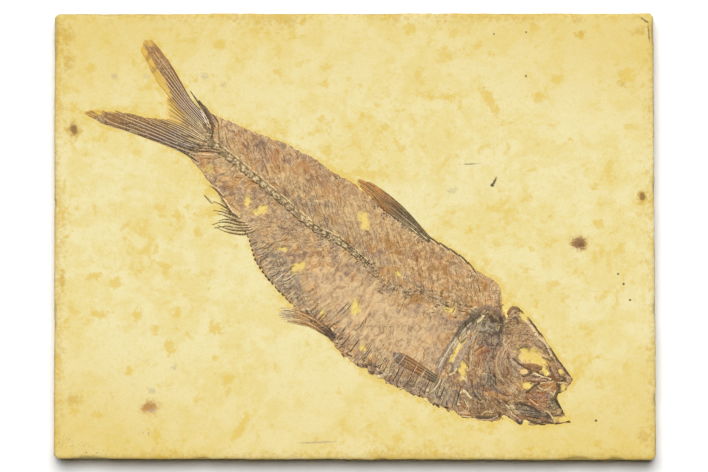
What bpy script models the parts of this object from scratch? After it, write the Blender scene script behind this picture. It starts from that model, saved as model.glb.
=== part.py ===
"""A fossil herring lying in the face of a limestone slab, laid down with the fish upwards.

Metres, +Z up. The origin is the middle of the slab's underside. The slab's long side runs along X.
The fish lies on its side with its tail towards -X +Y and its snout towards +X -Y.
"""

import math

import bmesh
import bpy
import numpy as np
from mathutils import Matrix, Vector, noise

MM = 0.001  # every length below is in millimetres, and is turned into metres as a mesh is made

# The slab
THICKNESS = 9.5
CORNERS = ((-74.6, -55.3), (75.1, -55.7), (74.3, 55.2), (-74.3, 55.1))
CORNER_ROUNDING = 1.4
EDGE_STEP = 6.0
EDGE_WOBBLE = 0.6
# Height up the side, and how far the bed there stands back from the outline
BEDS = (
    (0.0, 0.8),
    (0.7, 0.15),
    (2.2, 0.0),
    (2.5, 0.35),
    (4.4, 0.25),
    (4.6, 0.0),
    (6.9, 0.1),
    (7.1, 0.3),
    (8.9, 0.05),
    (THICKNESS, 0.45),
)
# Bites out of the slab's edges: middle on the outline, half length along the edge, depth
TOP_CHIPS = (
    (-60.5, 55.1, 3.2, 0.9),
    (-50.8, 55.1, 1.6, 0.8),
    (-74.3, 49.5, 6.0, 0.8),
    (22.0, 55.2, 2.4, 0.5),
    (74.4, 51.0, 4.0, 0.9),
    (74.6, 12.0, 1.8, 0.5),
    (74.8, -18.0, 2.2, 0.7),
    (75.0, -41.0, 2.0, 0.7),
    (65.5, -55.7, 2.2, 0.8),
    (55.5, -55.6, 3.2, 0.9),
    (7.0, -55.5, 1.8, 0.5),
    (-38.0, -55.4, 2.4, 0.6),
    (-74.5, -22.0, 2.6, 0.6),
)
UNDER_CHIPS = (
    (-68.0, -55.3, 6.0, 1.3),
    (18.0, -55.5, 4.0, 0.9),
    (75.0, -50.0, 5.0, 1.2),
    (74.5, 25.0, 3.5, 0.9),
    (30.0, 55.2, 5.0, 1.1),
    (-40.0, 55.1, 3.5, 0.8),
    (-74.4, 8.0, 4.5, 1.0),
)

# The fish, in plan
GAP = 0.3  # between the fish and the bed that it lies in
BED_DEPTH = 1.0
RIM = 0.15  # height of the fish's edge above the stone
UNDERSIDE = THICKNESS - BED_DEPTH + GAP
BACK_EDGE = (
    (-36.6, 31.2),
    (-31.0, 28.8),
    (-22.0, 25.0),
    (-13.0, 21.4),
    (-5.5, 16.5),
    (1.0, 12.6),
    (8.0, 7.0),
    (14.0, 3.0),
    (20.0, -0.6),
    (27.0, -4.9),
    (31.0, -9.2),
)
BACKBONE = (
    (-37.0, 24.5),
    (-33.5, 21.5),
    (-26.0, 15.5),
    (-18.0, 8.8),
    (-10.0, 2.0),
    (-3.0, -1.8),
    (3.0, -7.0),
    (8.0, -11.8),
    (15.0, -14.0),
    (22.0, -16.2),
    (31.0, -19.4),
)
BELLY_EDGE = (
    (-41.6, 20.2),
    (-36.0, 13.0),
    (-31.0, 6.0),
    (-26.8, 0.0),
    (-24.0, -7.7),
    (-16.0, -17.0),
    (-6.5, -25.5),
    (-2.5, -30.3),
    (7.5, -36.7),
    (15.5, -40.3),
    (21.5, -43.3),
    (28.0, -45.0),
)
NAPE_EDGE = ((29.0, -7.4), (27.5, -20.0), (22.8, -31.0), (26.0, -45.2))
SKULL_EDGE = (
    (29.0, -7.4),
    (33.5, -10.0),
    (36.2, -12.0),
    (37.2, -15.5),
    (38.0, -18.6),
    (40.0, -17.2),
    (43.5, -20.2),
    (47.3, -25.0),
    (50.8, -30.3),
    (55.0, -36.0),
)
MOUTH_EDGE = ((55.0, -36.0), (52.9, -38.6), (50.9, -40.0), (52.2, -43.6), (54.2, -46.6))
THROAT_EDGE = ((26.0, -45.2), (35.0, -46.5), (37.8, -45.0), (41.5, -47.2), (47.0, -47.3), (54.2, -46.6))

# The fins: line of the ray roots, and line of the ray tips in the same order
TAIL_ROOT = ((-34.6, 29.4), (-34.6, 26.8), (-35.6, 24.4), (-37.6, 22.0), (-40.4, 19.6))
TAIL_TIPS = (
    (-52.6, 49.2),
    (-53.2, 45.5),
    (-50.0, 40.0),
    (-46.8, 35.5),
    (-45.4, 31.5),
    (-46.6, 28.8),
    (-52.5, 30.0),
    (-58.5, 31.4),
    (-64.0, 31.8),
    (-68.2, 31.0),
)
BACK_FIN_ROOT = ((18.6, -1.6), (14.0, 1.4), (9.0, 4.8), (3.5, 9.6))
BACK_FIN_TIPS = ((18.0, 0.6), (14.0, 5.2), (8.0, 10.2), (1.0, 14.0))
ANAL_FIN_ROOT = ((-25.4, 1.6), (-29.0, 5.0), (-32.4, 10.0), (-36.4, 15.4))
ANAL_FIN_TIPS = ((-36.0, 2.8), (-35.0, 5.4), (-36.0, 8.8), (-39.2, 14.2))
PELVIC_FIN_ROOT = ((-3.6, -27.2), (-5.0, -23.6))
PELVIC_FIN_TIPS = ((-20.0, -20.2), (-18.2, -17.8))
BREAST_FIN_ROOT = ((20.4, -36.8), (20.0, -34.0))
BREAST_FIN_TIPS = ((9.6, -31.8), (10.4, -29.0))

# The fish, in relief: heights above the rim
TRUNK_RISE = 0.45
BACKBONE_RISE = 0.55
RIB_RISE = 0.14
HEAD_RISE = 0.6
FIN_RISE = 0.12
RAY_RISE = 0.22
BREAST_FIN_RISE = 0.75
VERTEBRAE = 38
RIB_LEAN = 0.17  # how far the spines above the backbone slope towards the tail, as a share of its length
# Bones and hollows of the head: middle, half length, half width, turn in degrees, height
HEAD_RELIEF = {
    "eye socket": (45.0, -30.3, 3.4, 2.2, -45.0, -0.55),
    "ring round the eye": (45.0, -30.3, 5.6, 4.2, -45.0, 0.35),
    "skull roof": (42.0, -23.0, 7.5, 2.2, -52.0, 0.5),
    "nape bones": (33.5, -16.0, 4.5, 6.0, -20.0, 0.35),
    "gill cover": (32.0, -30.0, 5.0, 9.0, -12.0, 0.45),
    "front gill cover": (38.5, -33.5, 2.2, 8.0, -8.0, 0.4),
    "upper jaw": (50.5, -35.5, 5.0, 1.6, -50.0, 0.35),
    "jaw hinge": (44.0, -38.5, 4.0, 2.4, 20.0, 0.45),
    "lower jaw": (48.0, -44.5, 6.0, 1.8, -4.0, 0.4),
    "throat bones": (32.5, -43.5, 6.0, 2.0, 4.0, 0.3),
}


def curve_through(points, count):
    """Evenly spaced points along a smooth curve through the given points."""
    knots = np.array(points, float)
    before = np.vstack([2 * knots[0] - knots[1], knots[:-2], knots[-2]])[: len(knots) - 1]
    after = np.vstack([knots[2:], 2 * knots[-1] - knots[-2]])
    steps = np.linspace(0, 1, 24, endpoint=False)[:, None]
    dense = []
    for a, b, c, d in zip(before, knots[:-1], knots[1:], after):
        bend = (2 * a - 5 * b + 4 * c - d) * steps**2 + (3 * b - a - 3 * c + d) * steps**3
        dense.append(b + 0.5 * ((c - a) * steps + bend))
    dense = np.vstack([*dense, knots[-1:]])
    travelled = np.concatenate([[0], np.cumsum(np.linalg.norm(np.diff(dense, axis=0), axis=1))])
    wanted = np.linspace(0, travelled[-1], count)
    return np.column_stack([np.interp(wanted, travelled, dense[:, k]) for k in range(2)])


def at_share(line, share):
    """The point a given share of the way along an evenly spaced line."""
    places = np.linspace(0, 1, len(line))
    return np.array([np.interp(share, places, line[:, k]) for k in range(2)])


def loft(bm, rows, closed):
    """Quads between neighbouring rows of points, and the rows' vertices."""
    made = [[bm.verts.new(point) for point in row] for row in rows]
    for low, high in zip(made, made[1:]):
        for k in range(len(low) if closed else len(low) - 1):
            after = (k + 1) % len(low)
            bm.faces.new((low[k], low[after], high[after], high[k]))
    return made


def new_object(name, bm, material, collection):
    """The finished mesh as an object: faces outwards, millimetres turned into metres."""
    bmesh.ops.recalc_face_normals(bm, faces=bm.faces)
    if bm.calc_volume(signed=True) < 0:
        bmesh.ops.reverse_faces(bm, faces=bm.faces)
    bmesh.ops.scale(bm, vec=(MM, MM, MM), verts=bm.verts)
    mesh = bpy.data.meshes.new(name)
    bm.to_mesh(mesh)
    bm.free()
    mesh.materials.append(material)
    piece = bpy.data.objects.new(name, mesh)
    collection.objects.link(piece)
    return piece


def as_helper(piece):
    """Only the Booleans use it: it isn't rendered, and shows as wire."""
    piece.hide_render = True
    piece.display_type = "WIRE"
    return piece


def stone(name, color, roughness):
    material = bpy.data.materials.new(name)
    material.use_nodes = True
    shader = material.node_tree.nodes["Principled BSDF"]
    shader.inputs["Base Color"].default_value = (*color, 1)
    shader.inputs["Roughness"].default_value = roughness
    shader.inputs["Metallic"].default_value = 0
    return material


# The slab


def slab_outline():
    """Points round the slab in plan, each with the direction that faces out there."""
    outline = []
    corners = [Vector(corner) for corner in CORNERS]
    for k, start in enumerate(corners):
        end = corners[(k + 1) % 4]
        along = (end - start).normalized()
        outward = Vector((along.y, -along.x))
        first = start + along * CORNER_ROUNDING
        last = end - along * CORNER_ROUNDING
        steps = round((last - first).length / EDGE_STEP)
        for step in range(steps + 1):
            outline.append((first.lerp(last, step / steps), outward))
        middle = end - end.normalized() * CORNER_ROUNDING * 0.45
        outline.append((middle, end.normalized()))
    return outline


def bed_ring(outline, height, setback):
    """One ring round the slab's side: the edge of a bed, a little uneven."""
    ring = []
    for point, outward in outline:
        broad = noise.noise(Vector((point.x / 17, point.y / 17, height * 0.6)))
        fine = noise.noise(Vector((point.x / 5, point.y / 5, height * 1.7)))
        uneven = EDGE_WOBBLE * (0.5 + 0.35 * broad + 0.25 * fine)
        edge = point - outward * (setback * (0.7 + 0.6 * abs(fine)) + uneven)
        ring.append((edge.x, edge.y, height))
    return ring


def chip_cutter(name, chip, height, material, collection):
    """A rough flat ball that bites into an arris, its long way along the slab's edge."""
    x, y, half_length, depth = chip
    bm = bmesh.new()
    bmesh.ops.create_icosphere(bm, subdivisions=2, radius=1)
    on_short_side = abs(x) / 74 > abs(y) / 55
    along = Vector((0, 1, 0)) if on_short_side else Vector((1, 0, 0))
    inward = Vector((-math.copysign(1, x), 0, 0)) if on_short_side else Vector((0, -math.copysign(1, y), 0))
    for vert in bm.verts:
        rough = 1 + 0.35 * noise.noise(vert.co * 1.9 + Vector((x, y, height)))
        a, b, c = vert.co * rough
        place = along * a * half_length + inward * b * (depth + 0.6) + Vector((0, 0, c * 1.3))
        vert.co = place + Vector((x, y, height))
    return as_helper(new_object(name, bm, material, collection))


def grown(ring, distance):
    """A closed outline moved outwards by a distance."""
    ring = np.array(ring)
    area = np.sum(ring[:, 0] * np.roll(ring[:, 1], -1) - np.roll(ring[:, 0], -1) * ring[:, 1])
    if area < 0:
        ring = ring[::-1]
    along = np.roll(ring, -1, axis=0) - ring
    along /= np.linalg.norm(along, axis=1)[:, None]
    outward = np.column_stack([along[:, 1], -along[:, 0]])
    at_corner = outward + np.roll(outward, 1, axis=0)
    at_corner /= np.maximum(np.sum(at_corner * outward, axis=1), 0.5)[:, None]
    return ring + at_corner * distance


def bed_cutter(name, rows, material, collection):
    """The hollow that one sheet of the fish lies in."""
    bm = bmesh.new()
    ring = grown(rim_of([[point[:2] for point in row] for row in rows]), GAP)
    floor = [bm.verts.new((x, y, THICKNESS - BED_DEPTH)) for x, y in ring]
    bottom = bm.faces.new(floor)
    top = bmesh.ops.extrude_face_region(bm, geom=[bottom])["geom"]
    lifted = [part for part in top if isinstance(part, bmesh.types.BMVert)]
    bmesh.ops.translate(bm, vec=(0, 0, BED_DEPTH + 1), verts=lifted)
    return as_helper(new_object(name, bm, material, collection))


def make_slab(sheets, material, collection):
    bm = bmesh.new()
    outline = slab_outline()
    rings = loft(bm, [bed_ring(outline, *bed) for bed in BEDS], closed=True)
    bm.faces.new(rings[0])
    bm.faces.new(rings[-1])
    slab = new_object("slab", bm, material, collection)
    cutters = bpy.data.collections.new("Slab cutters")
    bpy.context.scene.collection.children.link(cutters)
    for k, chip in enumerate(TOP_CHIPS):
        chip_cutter(f"top chip {k + 1}", chip, THICKNESS + 0.4, material, cutters)
    for k, chip in enumerate(UNDER_CHIPS):
        chip_cutter(f"under chip {k + 1}", chip, -0.4, material, cutters)
    for name, rows in sheets.items():
        bed_cutter(f"bed of the {name}", rows, material, cutters)
    carve = slab.modifiers.new("chips and the fish's bed", "BOOLEAN")
    carve.operation = "DIFFERENCE"
    carve.operand_type = "COLLECTION"
    carve.collection = cutters
    return slab


# The fish


def rim_of(rows):
    """The points round a sheet of rows."""
    far_side = [row[-1] for row in rows[1:-1]]
    near_side = [row[0] for row in rows[1:-1]]
    return [*rows[0], *far_side, *rows[-1][::-1], *near_side[::-1]]


def trunk_rows():
    """Rows of points across the trunk, from back to belly, that follow its spines and ribs.

    Each vertebra has a raised row and a sunk one.
    """
    back = curve_through(BACK_EDGE, 80)
    spine = curve_through(BACKBONE, 80)
    belly = curve_through(BELLY_EDGE, 80)
    above = (0, 0.25, 0.5, 0.75, 0.93)
    below = (0.06, 0.25, 0.45, 0.65, 0.85, 1)
    rows = []
    for k in range(2 * VERTEBRAE + 1):
        share = k / (2 * VERTEBRAE)
        lean = RIB_LEAN * math.sin(math.pi * share)
        top = at_share(back, share - lean)
        middle = at_share(spine, share)
        bottom = at_share(belly, share - 0.3 * lean)
        raised = RIB_RISE if k % 2 else 0
        row = []
        for step in above:
            flank = 0.4 + 0.6 * step
            height = TRUNK_RISE * math.sin(0.5 * math.pi * step) + raised * flank
            row.append((*(top + (middle - top) * step), height if step else 0))
        row.append((*middle, TRUNK_RISE + BACKBONE_RISE - 0.1 * (k % 2)))
        for step in below:
            height = (TRUNK_RISE + raised) * math.cos(0.5 * math.pi * step) ** 0.6 if step < 1 else 0
            row.append((*(middle + (bottom - middle) * step), height))
        rows.append([(x, y, THICKNESS + RIM + z) for x, y, z in row])
    return rows


def bump(x, y, relief):
    """Height at a point of one rounded bone or hollow of the head."""
    middle_x, middle_y, half_length, half_width, turn, height = relief
    turned = Matrix.Rotation(-math.radians(turn), 2) @ Vector((x - middle_x, y - middle_y))
    reach = (turned.x / half_length) ** 2 + (turned.y / half_width) ** 2
    return height * math.exp(-reach)


def head_rows():
    """A sheet stretched between the four edges of the head, raised over its bones."""
    across = 20
    along = 20
    nape = curve_through(NAPE_EDGE, across + 1)
    mouth = curve_through(MOUTH_EDGE, across + 1)
    skull = curve_through(SKULL_EDGE, along + 1)
    throat = curve_through(THROAT_EDGE, along + 1)
    rows = []
    for i in range(along + 1):
        t = i / along
        row = []
        for j in range(across + 1):
            s = j / across
            sides = (1 - s) * skull[i] + s * throat[i]
            ends = (1 - t) * nape[j] + t * mouth[j]
            corners = (1 - t) * ((1 - s) * skull[0] + s * throat[0]) + t * (
                (1 - s) * skull[-1] + s * throat[-1]
            )
            x, y = sides + ends - corners
            inside = min(1.0, 4 * min(s, 1 - s), 4 * (1 - t), 0.5 + 6 * t)
            height = HEAD_RISE + sum(bump(x, y, relief) for relief in HEAD_RELIEF.values())
            row.append((x, y, THICKNESS + RIM + max(0.0, height) * inside))
        rows.append(row)
    return rows


def fin_rows(root, tips, rays, joints, rise=FIN_RISE):
    """A fan whose rays stand up as ridges, from the root line to the tips."""
    starts = curve_through(root, 2 * rays + 1)
    ends = curve_through(tips, 2 * rays + 1)
    rows = []
    for joint in range(joints + 1):
        share = joint / joints
        row = []
        for k, (start, end) in enumerate(zip(starts, ends)):
            x, y = start + (end - start) * share
            ray = RAY_RISE * (1 - 0.6 * share) * (k % 2)
            row.append((x, y, THICKNESS + RIM + rise * (1 - 0.5 * share) + ray))
        rows.append(row)
    return rows


def sheet_solid(name, rows, material, collection):
    """A sheet closed down to the fish's flat underside."""
    bm = bmesh.new()
    loft(bm, rows, closed=False)
    rim = [edge for edge in bm.edges if edge.is_boundary]
    walls = bmesh.ops.extrude_edge_only(bm, edges=rim)["geom"]
    for vert in walls:
        if isinstance(vert, bmesh.types.BMVert):
            vert.co.z = UNDERSIDE
    lower_rim = [part for part in walls if isinstance(part, bmesh.types.BMEdge)]
    bmesh.ops.contextual_create(bm, geom=lower_rim)
    return new_object(name, bm, material, collection)


def make_fish(sheets, material, collection):
    fish = sheet_solid("fish", sheets["trunk"], material, collection)
    joined = bpy.data.collections.new("Fish sheets")
    bpy.context.scene.collection.children.link(joined)
    for name, rows in sheets.items():
        if name != "trunk":
            as_helper(sheet_solid(name, rows, material, joined))
    union = fish.modifiers.new("head and fins", "BOOLEAN")
    union.operation = "UNION"
    union.operand_type = "COLLECTION"
    union.collection = joined
    return fish


def main():
    for old in list(bpy.data.objects):
        bpy.data.objects.remove(old, do_unlink=True)
    collection = bpy.data.collections.new("Fossil fish slab")
    bpy.context.scene.collection.children.link(collection)
    limestone = stone("limestone", (0.84, 0.71, 0.33), 0.85)
    bone = stone("fossil bone", (0.42, 0.28, 0.15), 0.75)
    sheets = {
        "trunk": trunk_rows(),
        "head": head_rows(),
        "tail fin": fin_rows(TAIL_ROOT, TAIL_TIPS, rays=19, joints=5),
        "back fin": fin_rows(BACK_FIN_ROOT, BACK_FIN_TIPS, rays=11, joints=2),
        "anal fin": fin_rows(ANAL_FIN_ROOT, ANAL_FIN_TIPS, rays=9, joints=3),
        "pelvic fin": fin_rows(PELVIC_FIN_ROOT, PELVIC_FIN_TIPS, rays=4, joints=5),
        "breast fin": fin_rows(BREAST_FIN_ROOT, BREAST_FIN_TIPS, rays=5, joints=4, rise=BREAST_FIN_RISE),
    }
    make_slab(sheets, limestone, collection)
    make_fish(sheets, bone, collection)


main()
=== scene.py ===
"""Looks of the fossil fish slab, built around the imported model.

Lengths here are in millimetres in the slab's frame, and become metres as a mesh is made: +X along the
slab, +Y towards the fish's back, +Z up, with the slab's underside at 0.
"""

import math

import bpy
import numpy as np
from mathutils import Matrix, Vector
from mathutils.bvhtree import BVHTree
from mathutils.kdtree import KDTree


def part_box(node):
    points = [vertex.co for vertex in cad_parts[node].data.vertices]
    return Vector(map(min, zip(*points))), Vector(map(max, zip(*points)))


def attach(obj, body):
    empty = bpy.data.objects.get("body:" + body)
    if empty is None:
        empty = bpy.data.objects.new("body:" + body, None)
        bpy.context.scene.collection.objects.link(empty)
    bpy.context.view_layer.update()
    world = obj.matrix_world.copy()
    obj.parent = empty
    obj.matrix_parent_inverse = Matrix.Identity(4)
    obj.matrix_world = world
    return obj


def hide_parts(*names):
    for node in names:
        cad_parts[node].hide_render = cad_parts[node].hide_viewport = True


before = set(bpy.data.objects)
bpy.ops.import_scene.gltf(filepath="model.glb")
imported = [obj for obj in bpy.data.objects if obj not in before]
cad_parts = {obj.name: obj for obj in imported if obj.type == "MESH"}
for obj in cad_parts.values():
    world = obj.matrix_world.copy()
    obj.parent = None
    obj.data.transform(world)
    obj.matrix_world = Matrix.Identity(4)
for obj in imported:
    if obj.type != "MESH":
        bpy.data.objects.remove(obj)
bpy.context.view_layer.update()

MM = 0.001
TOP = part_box("slab")[1].z / MM  # the stone's upper face
FACE_LEVEL = TOP - 0.1  # the height about which the stone's face is uneven
UNDER_FILM = TOP - 0.5  # the flat underside of every film, inside the stone
TORN = 0.3  # how far below the stone's face a film's torn edge goes
LIGHT = 1.18  # how much brighter than its own colour a level surface looks in this light


# Colour


def seen(red, green, blue):
    """The surface colour that looks like this screen colour under the studio light."""
    screen = np.array((red, green, blue)) / 255
    linear = np.where(screen <= 0.04045, screen / 12.92, ((screen + 0.055) / 1.055) ** 2.4)
    return linear / LIGHT


STONE_PALE = seen(243, 230, 174)
STONE = seen(239, 221, 150)
STONE_YELLOW = seen(233, 201, 98)
STONE_OCHRE = seen(214, 172, 66)
BARE_YELLOW = seen(240, 211, 112)
TAN = seen(206, 172, 126)
PEACH = seen(226, 192, 142)
MAUVE = seen(166, 134, 110)
AMBER = seen(174, 124, 60)
ORANGE = seen(190, 136, 74)
OLIVE = seen(122, 102, 68)
DARK = seen(82, 66, 48)
BROWN = seen(136, 98, 62)
RUST = seen(150, 90, 52)
PINK = seen(206, 172, 146)
ASH = seen(188, 170, 148)
PLUM = seen(118, 92, 84)
SLATE = seen(104, 92, 84)
CREAM = seen(238, 216, 164)


# Noise and curves


def fade(t):
    """From 0 to 1 as t does, level at both ends."""
    return t * t * t * (6 * t * t - 15 * t + 10)


def smooth_noise(x, y, seed):
    """Gradient noise from about -1 to 1, its lumps one unit across."""
    size = 128
    turn = np.random.default_rng(seed).uniform(0, 2 * np.pi, (size, size))
    left = np.floor(x).astype(int)
    low = np.floor(y).astype(int)
    total = 0.0
    for i in (0, 1):
        for j in (0, 1):
            dx = x - left - i
            dy = y - low - j
            angle = turn[(left + i) % size, (low + j) % size]
            pull = np.cos(angle) * dx + np.sin(angle) * dy
            total = total + pull * fade(1 - np.abs(dx)) * fade(1 - np.abs(dy))
    return 1.5 * total


def mottle(x, y, size, octaves, seed):
    """Noise with finer noise on it: its largest lumps are size millimetres across."""
    total = 0.0
    for k in range(octaves):
        finer = 2**k / size
        total = total + 0.5**k * smooth_noise(x * finer, y * finer, seed + k)
    return total


def ramp(value, low, high):
    """0 below low and 1 above high, with a smooth rise between."""
    t = np.clip((value - low) / (high - low), 0, 1)
    return t * t * (3 - 2 * t)


def travel(points):
    """How far along a chain of points each of them is."""
    return np.concatenate([[0], np.cumsum(np.linalg.norm(np.diff(points, axis=0), axis=1))])


class Line:
    """A smooth curve through points, read by the share of its length."""

    def __init__(self, points):
        knots = np.array(points, float)
        if len(knots) > 2:
            before = np.vstack([2 * knots[0] - knots[1], knots[:-2]])
            after = np.vstack([knots[2:], 2 * knots[-1] - knots[-2]])
            steps = np.linspace(0, 1, 24, endpoint=False)[:, None]
            spans = []
            for a, b, c, d in zip(before, knots[:-1], knots[1:], after):
                bend = (2 * a - 5 * b + 4 * c - d) * steps**2 + (3 * b - a - 3 * c + d) * steps**3
                spans.append(b + 0.5 * ((c - a) * steps + bend))
            knots = np.vstack([*spans, knots[-1:]])
        self.points = knots
        self.travelled = travel(knots)
        self.length = self.travelled[-1]

    def at(self, share):
        """Points at these shares of the length, as an array with x and y last."""
        wanted = np.asarray(share, float) * self.length
        x = np.interp(wanted, self.travelled, self.points[:, 0])
        y = np.interp(wanted, self.travelled, self.points[:, 1])
        return np.stack([x, y], axis=-1)


def curves(*rows):
    """One smooth curve for each row of points."""
    return tuple(Line(points) for points in rows)


def distance_to(points, x, y):
    """How far each place is from a chain of points."""
    nearest = np.full(np.shape(x), 1e9)
    for (ax, ay), (bx, by) in zip(points[:-1], points[1:]):
        dx = bx - ax
        dy = by - ay
        along = np.clip(((x - ax) * dx + (y - ay) * dy) / (dx * dx + dy * dy), 0, 1)
        nearest = np.minimum(nearest, np.hypot(x - ax - along * dx, y - ay - along * dy))
    return nearest


def in_oval(x, y, middle, half_sizes, turn):
    """Places by an oval's own two axes, in shares of its half sizes."""
    angle = math.radians(turn)
    dx = x - middle[0]
    dy = y - middle[1]
    along = (dx * math.cos(angle) + dy * math.sin(angle)) / half_sizes[0]
    across = (dy * math.cos(angle) - dx * math.sin(angle)) / half_sizes[1]
    return along, across


def patch(x, y, middle, half_sizes, turn=0.0, ragged=0.25, soft=0.15, seed=5):
    """1 inside an uneven oval and 0 outside it."""
    reach = np.hypot(*in_oval(x, y, middle, half_sizes, turn)) + ragged * mottle(x, y, 1.3, 3, seed)
    return 1 - ramp(reach, 1 - soft, 1 + soft)


def blots(x, y, marks):
    """How far inside any of these ovals each place is: 1 at a middle, about 0.4 at an outline."""
    inside = np.zeros(x.shape)
    for middle, half_sizes, turn in marks:
        inside = np.maximum(inside, 1 - 0.6 * np.hypot(*in_oval(x, y, middle, half_sizes, turn)))
    return inside


def tint(paint, mask, color):
    """The paint turned towards a colour by a mask."""
    return paint + (color - paint) * mask[..., None]


def stacked(*parts):
    """Arrays and single numbers side by side, as the parts of one place."""
    return np.stack(np.broadcast_arrays(*parts), axis=-1)


# Meshes


def make_piece(name, points, faces, paint, material, node, flow=None):
    """A mesh from millimetre points, with its colours, riding in place of a CAD node.

    flow is, for each point, millimetres across and along the bones that run there, and how smooth it is."""
    points = np.asarray(points)
    mesh = bpy.data.meshes.new(name)
    mesh.from_pydata((points * MM).tolist(), [], faces)
    mesh.update()
    colors = mesh.color_attributes.new("paint", "FLOAT_COLOR", "POINT")
    channels = np.ones((len(points), 4), np.float32)
    channels[:, :3] = np.clip(paint, 0, 1)
    colors.data.foreach_set("color", channels.ravel())
    if flow is not None:
        layer = mesh.attributes.new("flow", "FLOAT_VECTOR", "POINT")
        layer.data.foreach_set("vector", np.asarray(flow, np.float32).ravel())
    mesh.polygons.foreach_set("use_smooth", np.ones(len(mesh.polygons), bool))
    mesh.materials.append(material)
    piece = bpy.data.objects.new(name, mesh)
    bpy.context.scene.collection.objects.link(piece)
    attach(piece, "root")
    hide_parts(node)
    return piece


def grid_of(rows, columns, first=(0, 1), second=(0, 1)):
    """Two numbers for each point of a grid: the first runs over its rows, the second over its columns."""
    return np.meshgrid(np.linspace(*first, rows), np.linspace(*second, columns), indexing="ij")


def grid_faces(rows, columns, start=0):
    """Quads of a grid whose points are numbered row by row, seen from above."""
    index = start + np.arange(rows * columns).reshape(rows, columns)
    corners = (index[:-1, :-1], index[1:, :-1], index[1:, 1:], index[:-1, 1:])
    return np.stack([corner.ravel() for corner in corners], axis=1).tolist()


def ring_of(rows, columns):
    """The numbers of a grid's outer points, in order round it."""
    index = np.arange(rows * columns).reshape(rows, columns)
    return [*index[0, :-1], *index[:-1, -1], *index[-1, :0:-1], *index[:0:-1, 0]]


def torn_off(height, torn):
    """A film's height over the stone, going down into it where the film is torn."""
    return height * (1 - torn) - TORN * torn


def sheet_solid(name, grid, paint, flow, material):
    """A grid of points closed by a wall and a flat underside, sunk into the stone."""
    rows, columns = grid.shape[:2]
    points = grid.reshape(-1, 3)
    faces = grid_faces(rows, columns)
    ring = ring_of(rows, columns)
    outline = points[ring]
    after = np.roll(outline, -1, axis=0)
    if np.sum(outline[:, 0] * after[:, 1] - after[:, 0] * outline[:, 1]) > 0:
        faces = [face[::-1] for face in faces]
        ring = ring[::-1]
    count = len(points)
    foot = points[ring].copy()
    foot[:, 2] = UNDER_FILM
    for k, top in enumerate(ring):
        beside = (k + 1) % len(ring)
        faces.append([top, ring[beside], count + beside, count + k])
    faces.append(list(range(count, count + len(ring))))
    colors = paint.reshape(-1, 3)
    ways = flow.reshape(-1, 3)
    # The wall is painted darker towards its foot, and the underside is dark too: painted shade
    colors = np.vstack([colors, colors[ring] * 0.8])
    ways = np.vstack([ways, ways[ring]])
    return make_piece(name, np.vstack([points, foot]), faces, colors, material, "fish", ways)


class Surface:
    """The films laid so far, to be asked their height and colour at a place."""

    def __init__(self):
        self.points = np.zeros((0, 3))
        self.colors = np.zeros((0, 3))
        self.faces = []
        self.tree = None

    def lay(self, grid, paint):
        """Add a film's grid of points and their colours."""
        self.faces += grid_faces(*grid.shape[:2], start=len(self.points))
        self.points = np.vstack([self.points, grid.reshape(-1, 3)])
        self.colors = np.vstack([self.colors, paint.reshape(-1, 3)])
        self.tree = BVHTree.FromPolygons(self.points.tolist(), self.faces)

    def at(self, x, y):
        """(height, colour), which is the bare stone's off the films."""
        spot, _, face, _ = self.tree.ray_cast(Vector((x, y, TOP + 20)), Vector((0, 0, -1)))
        if spot is None or spot.z < FACE_LEVEL:
            return FACE_LEVEL, STONE
        return spot.z, self.colors[self.faces[face][0]]

    def heights(self, x, y):
        """The heights at many places."""
        found = [self.at(a, b)[0] for a, b in zip(np.ravel(x), np.ravel(y))]
        return np.reshape(found, np.shape(x))


def lay_film(surface, name, x, y, height, paint, flow, material):
    """A film's mesh, from its height over the stone, laid on the surface for what lies on it."""
    grid = stacked(x, y, TOP + height)
    surface.lay(grid, paint)
    sheet_solid(name, grid, paint, flow, material)


# How a change of brightness is shared between red, green and blue, so that a bone keeps its warmth
SHARES = np.array((0.83, 1.0, 1.32))
BRIGHTNESS = np.array((0.21, 0.72, 0.07))


def stained(color, here):
    """A bone's own colour, turned partly to the hue of what it lies in."""
    ratio = (color @ BRIGHTNESS) / (here @ BRIGHTNESS)
    return 0.75 * color + 0.25 * here * ratio[..., None] ** SHARES


# A ridge's cross-section, from its left to its right: share of its half width, share of its height,
# and how bright it is painted there: a painted highlight on its crown and painted shade on its flanks,
# where None stands for the painted shade at the ridge's own edge
PROFILE = ((-1, -0.3, None), (-0.62, 0.72, 0.95), (0, 1, 1.08), (0.62, 0.72, 0.98), (1, -0.3, None))
# The rings of a flake, from its outline inwards: share of its half sizes, share of its height
FLAKE_RINGS = ((1.0, -0.3), (0.85, 0.7), (0.45, 1.0))
FLAKE_CORNERS = 12


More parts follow.
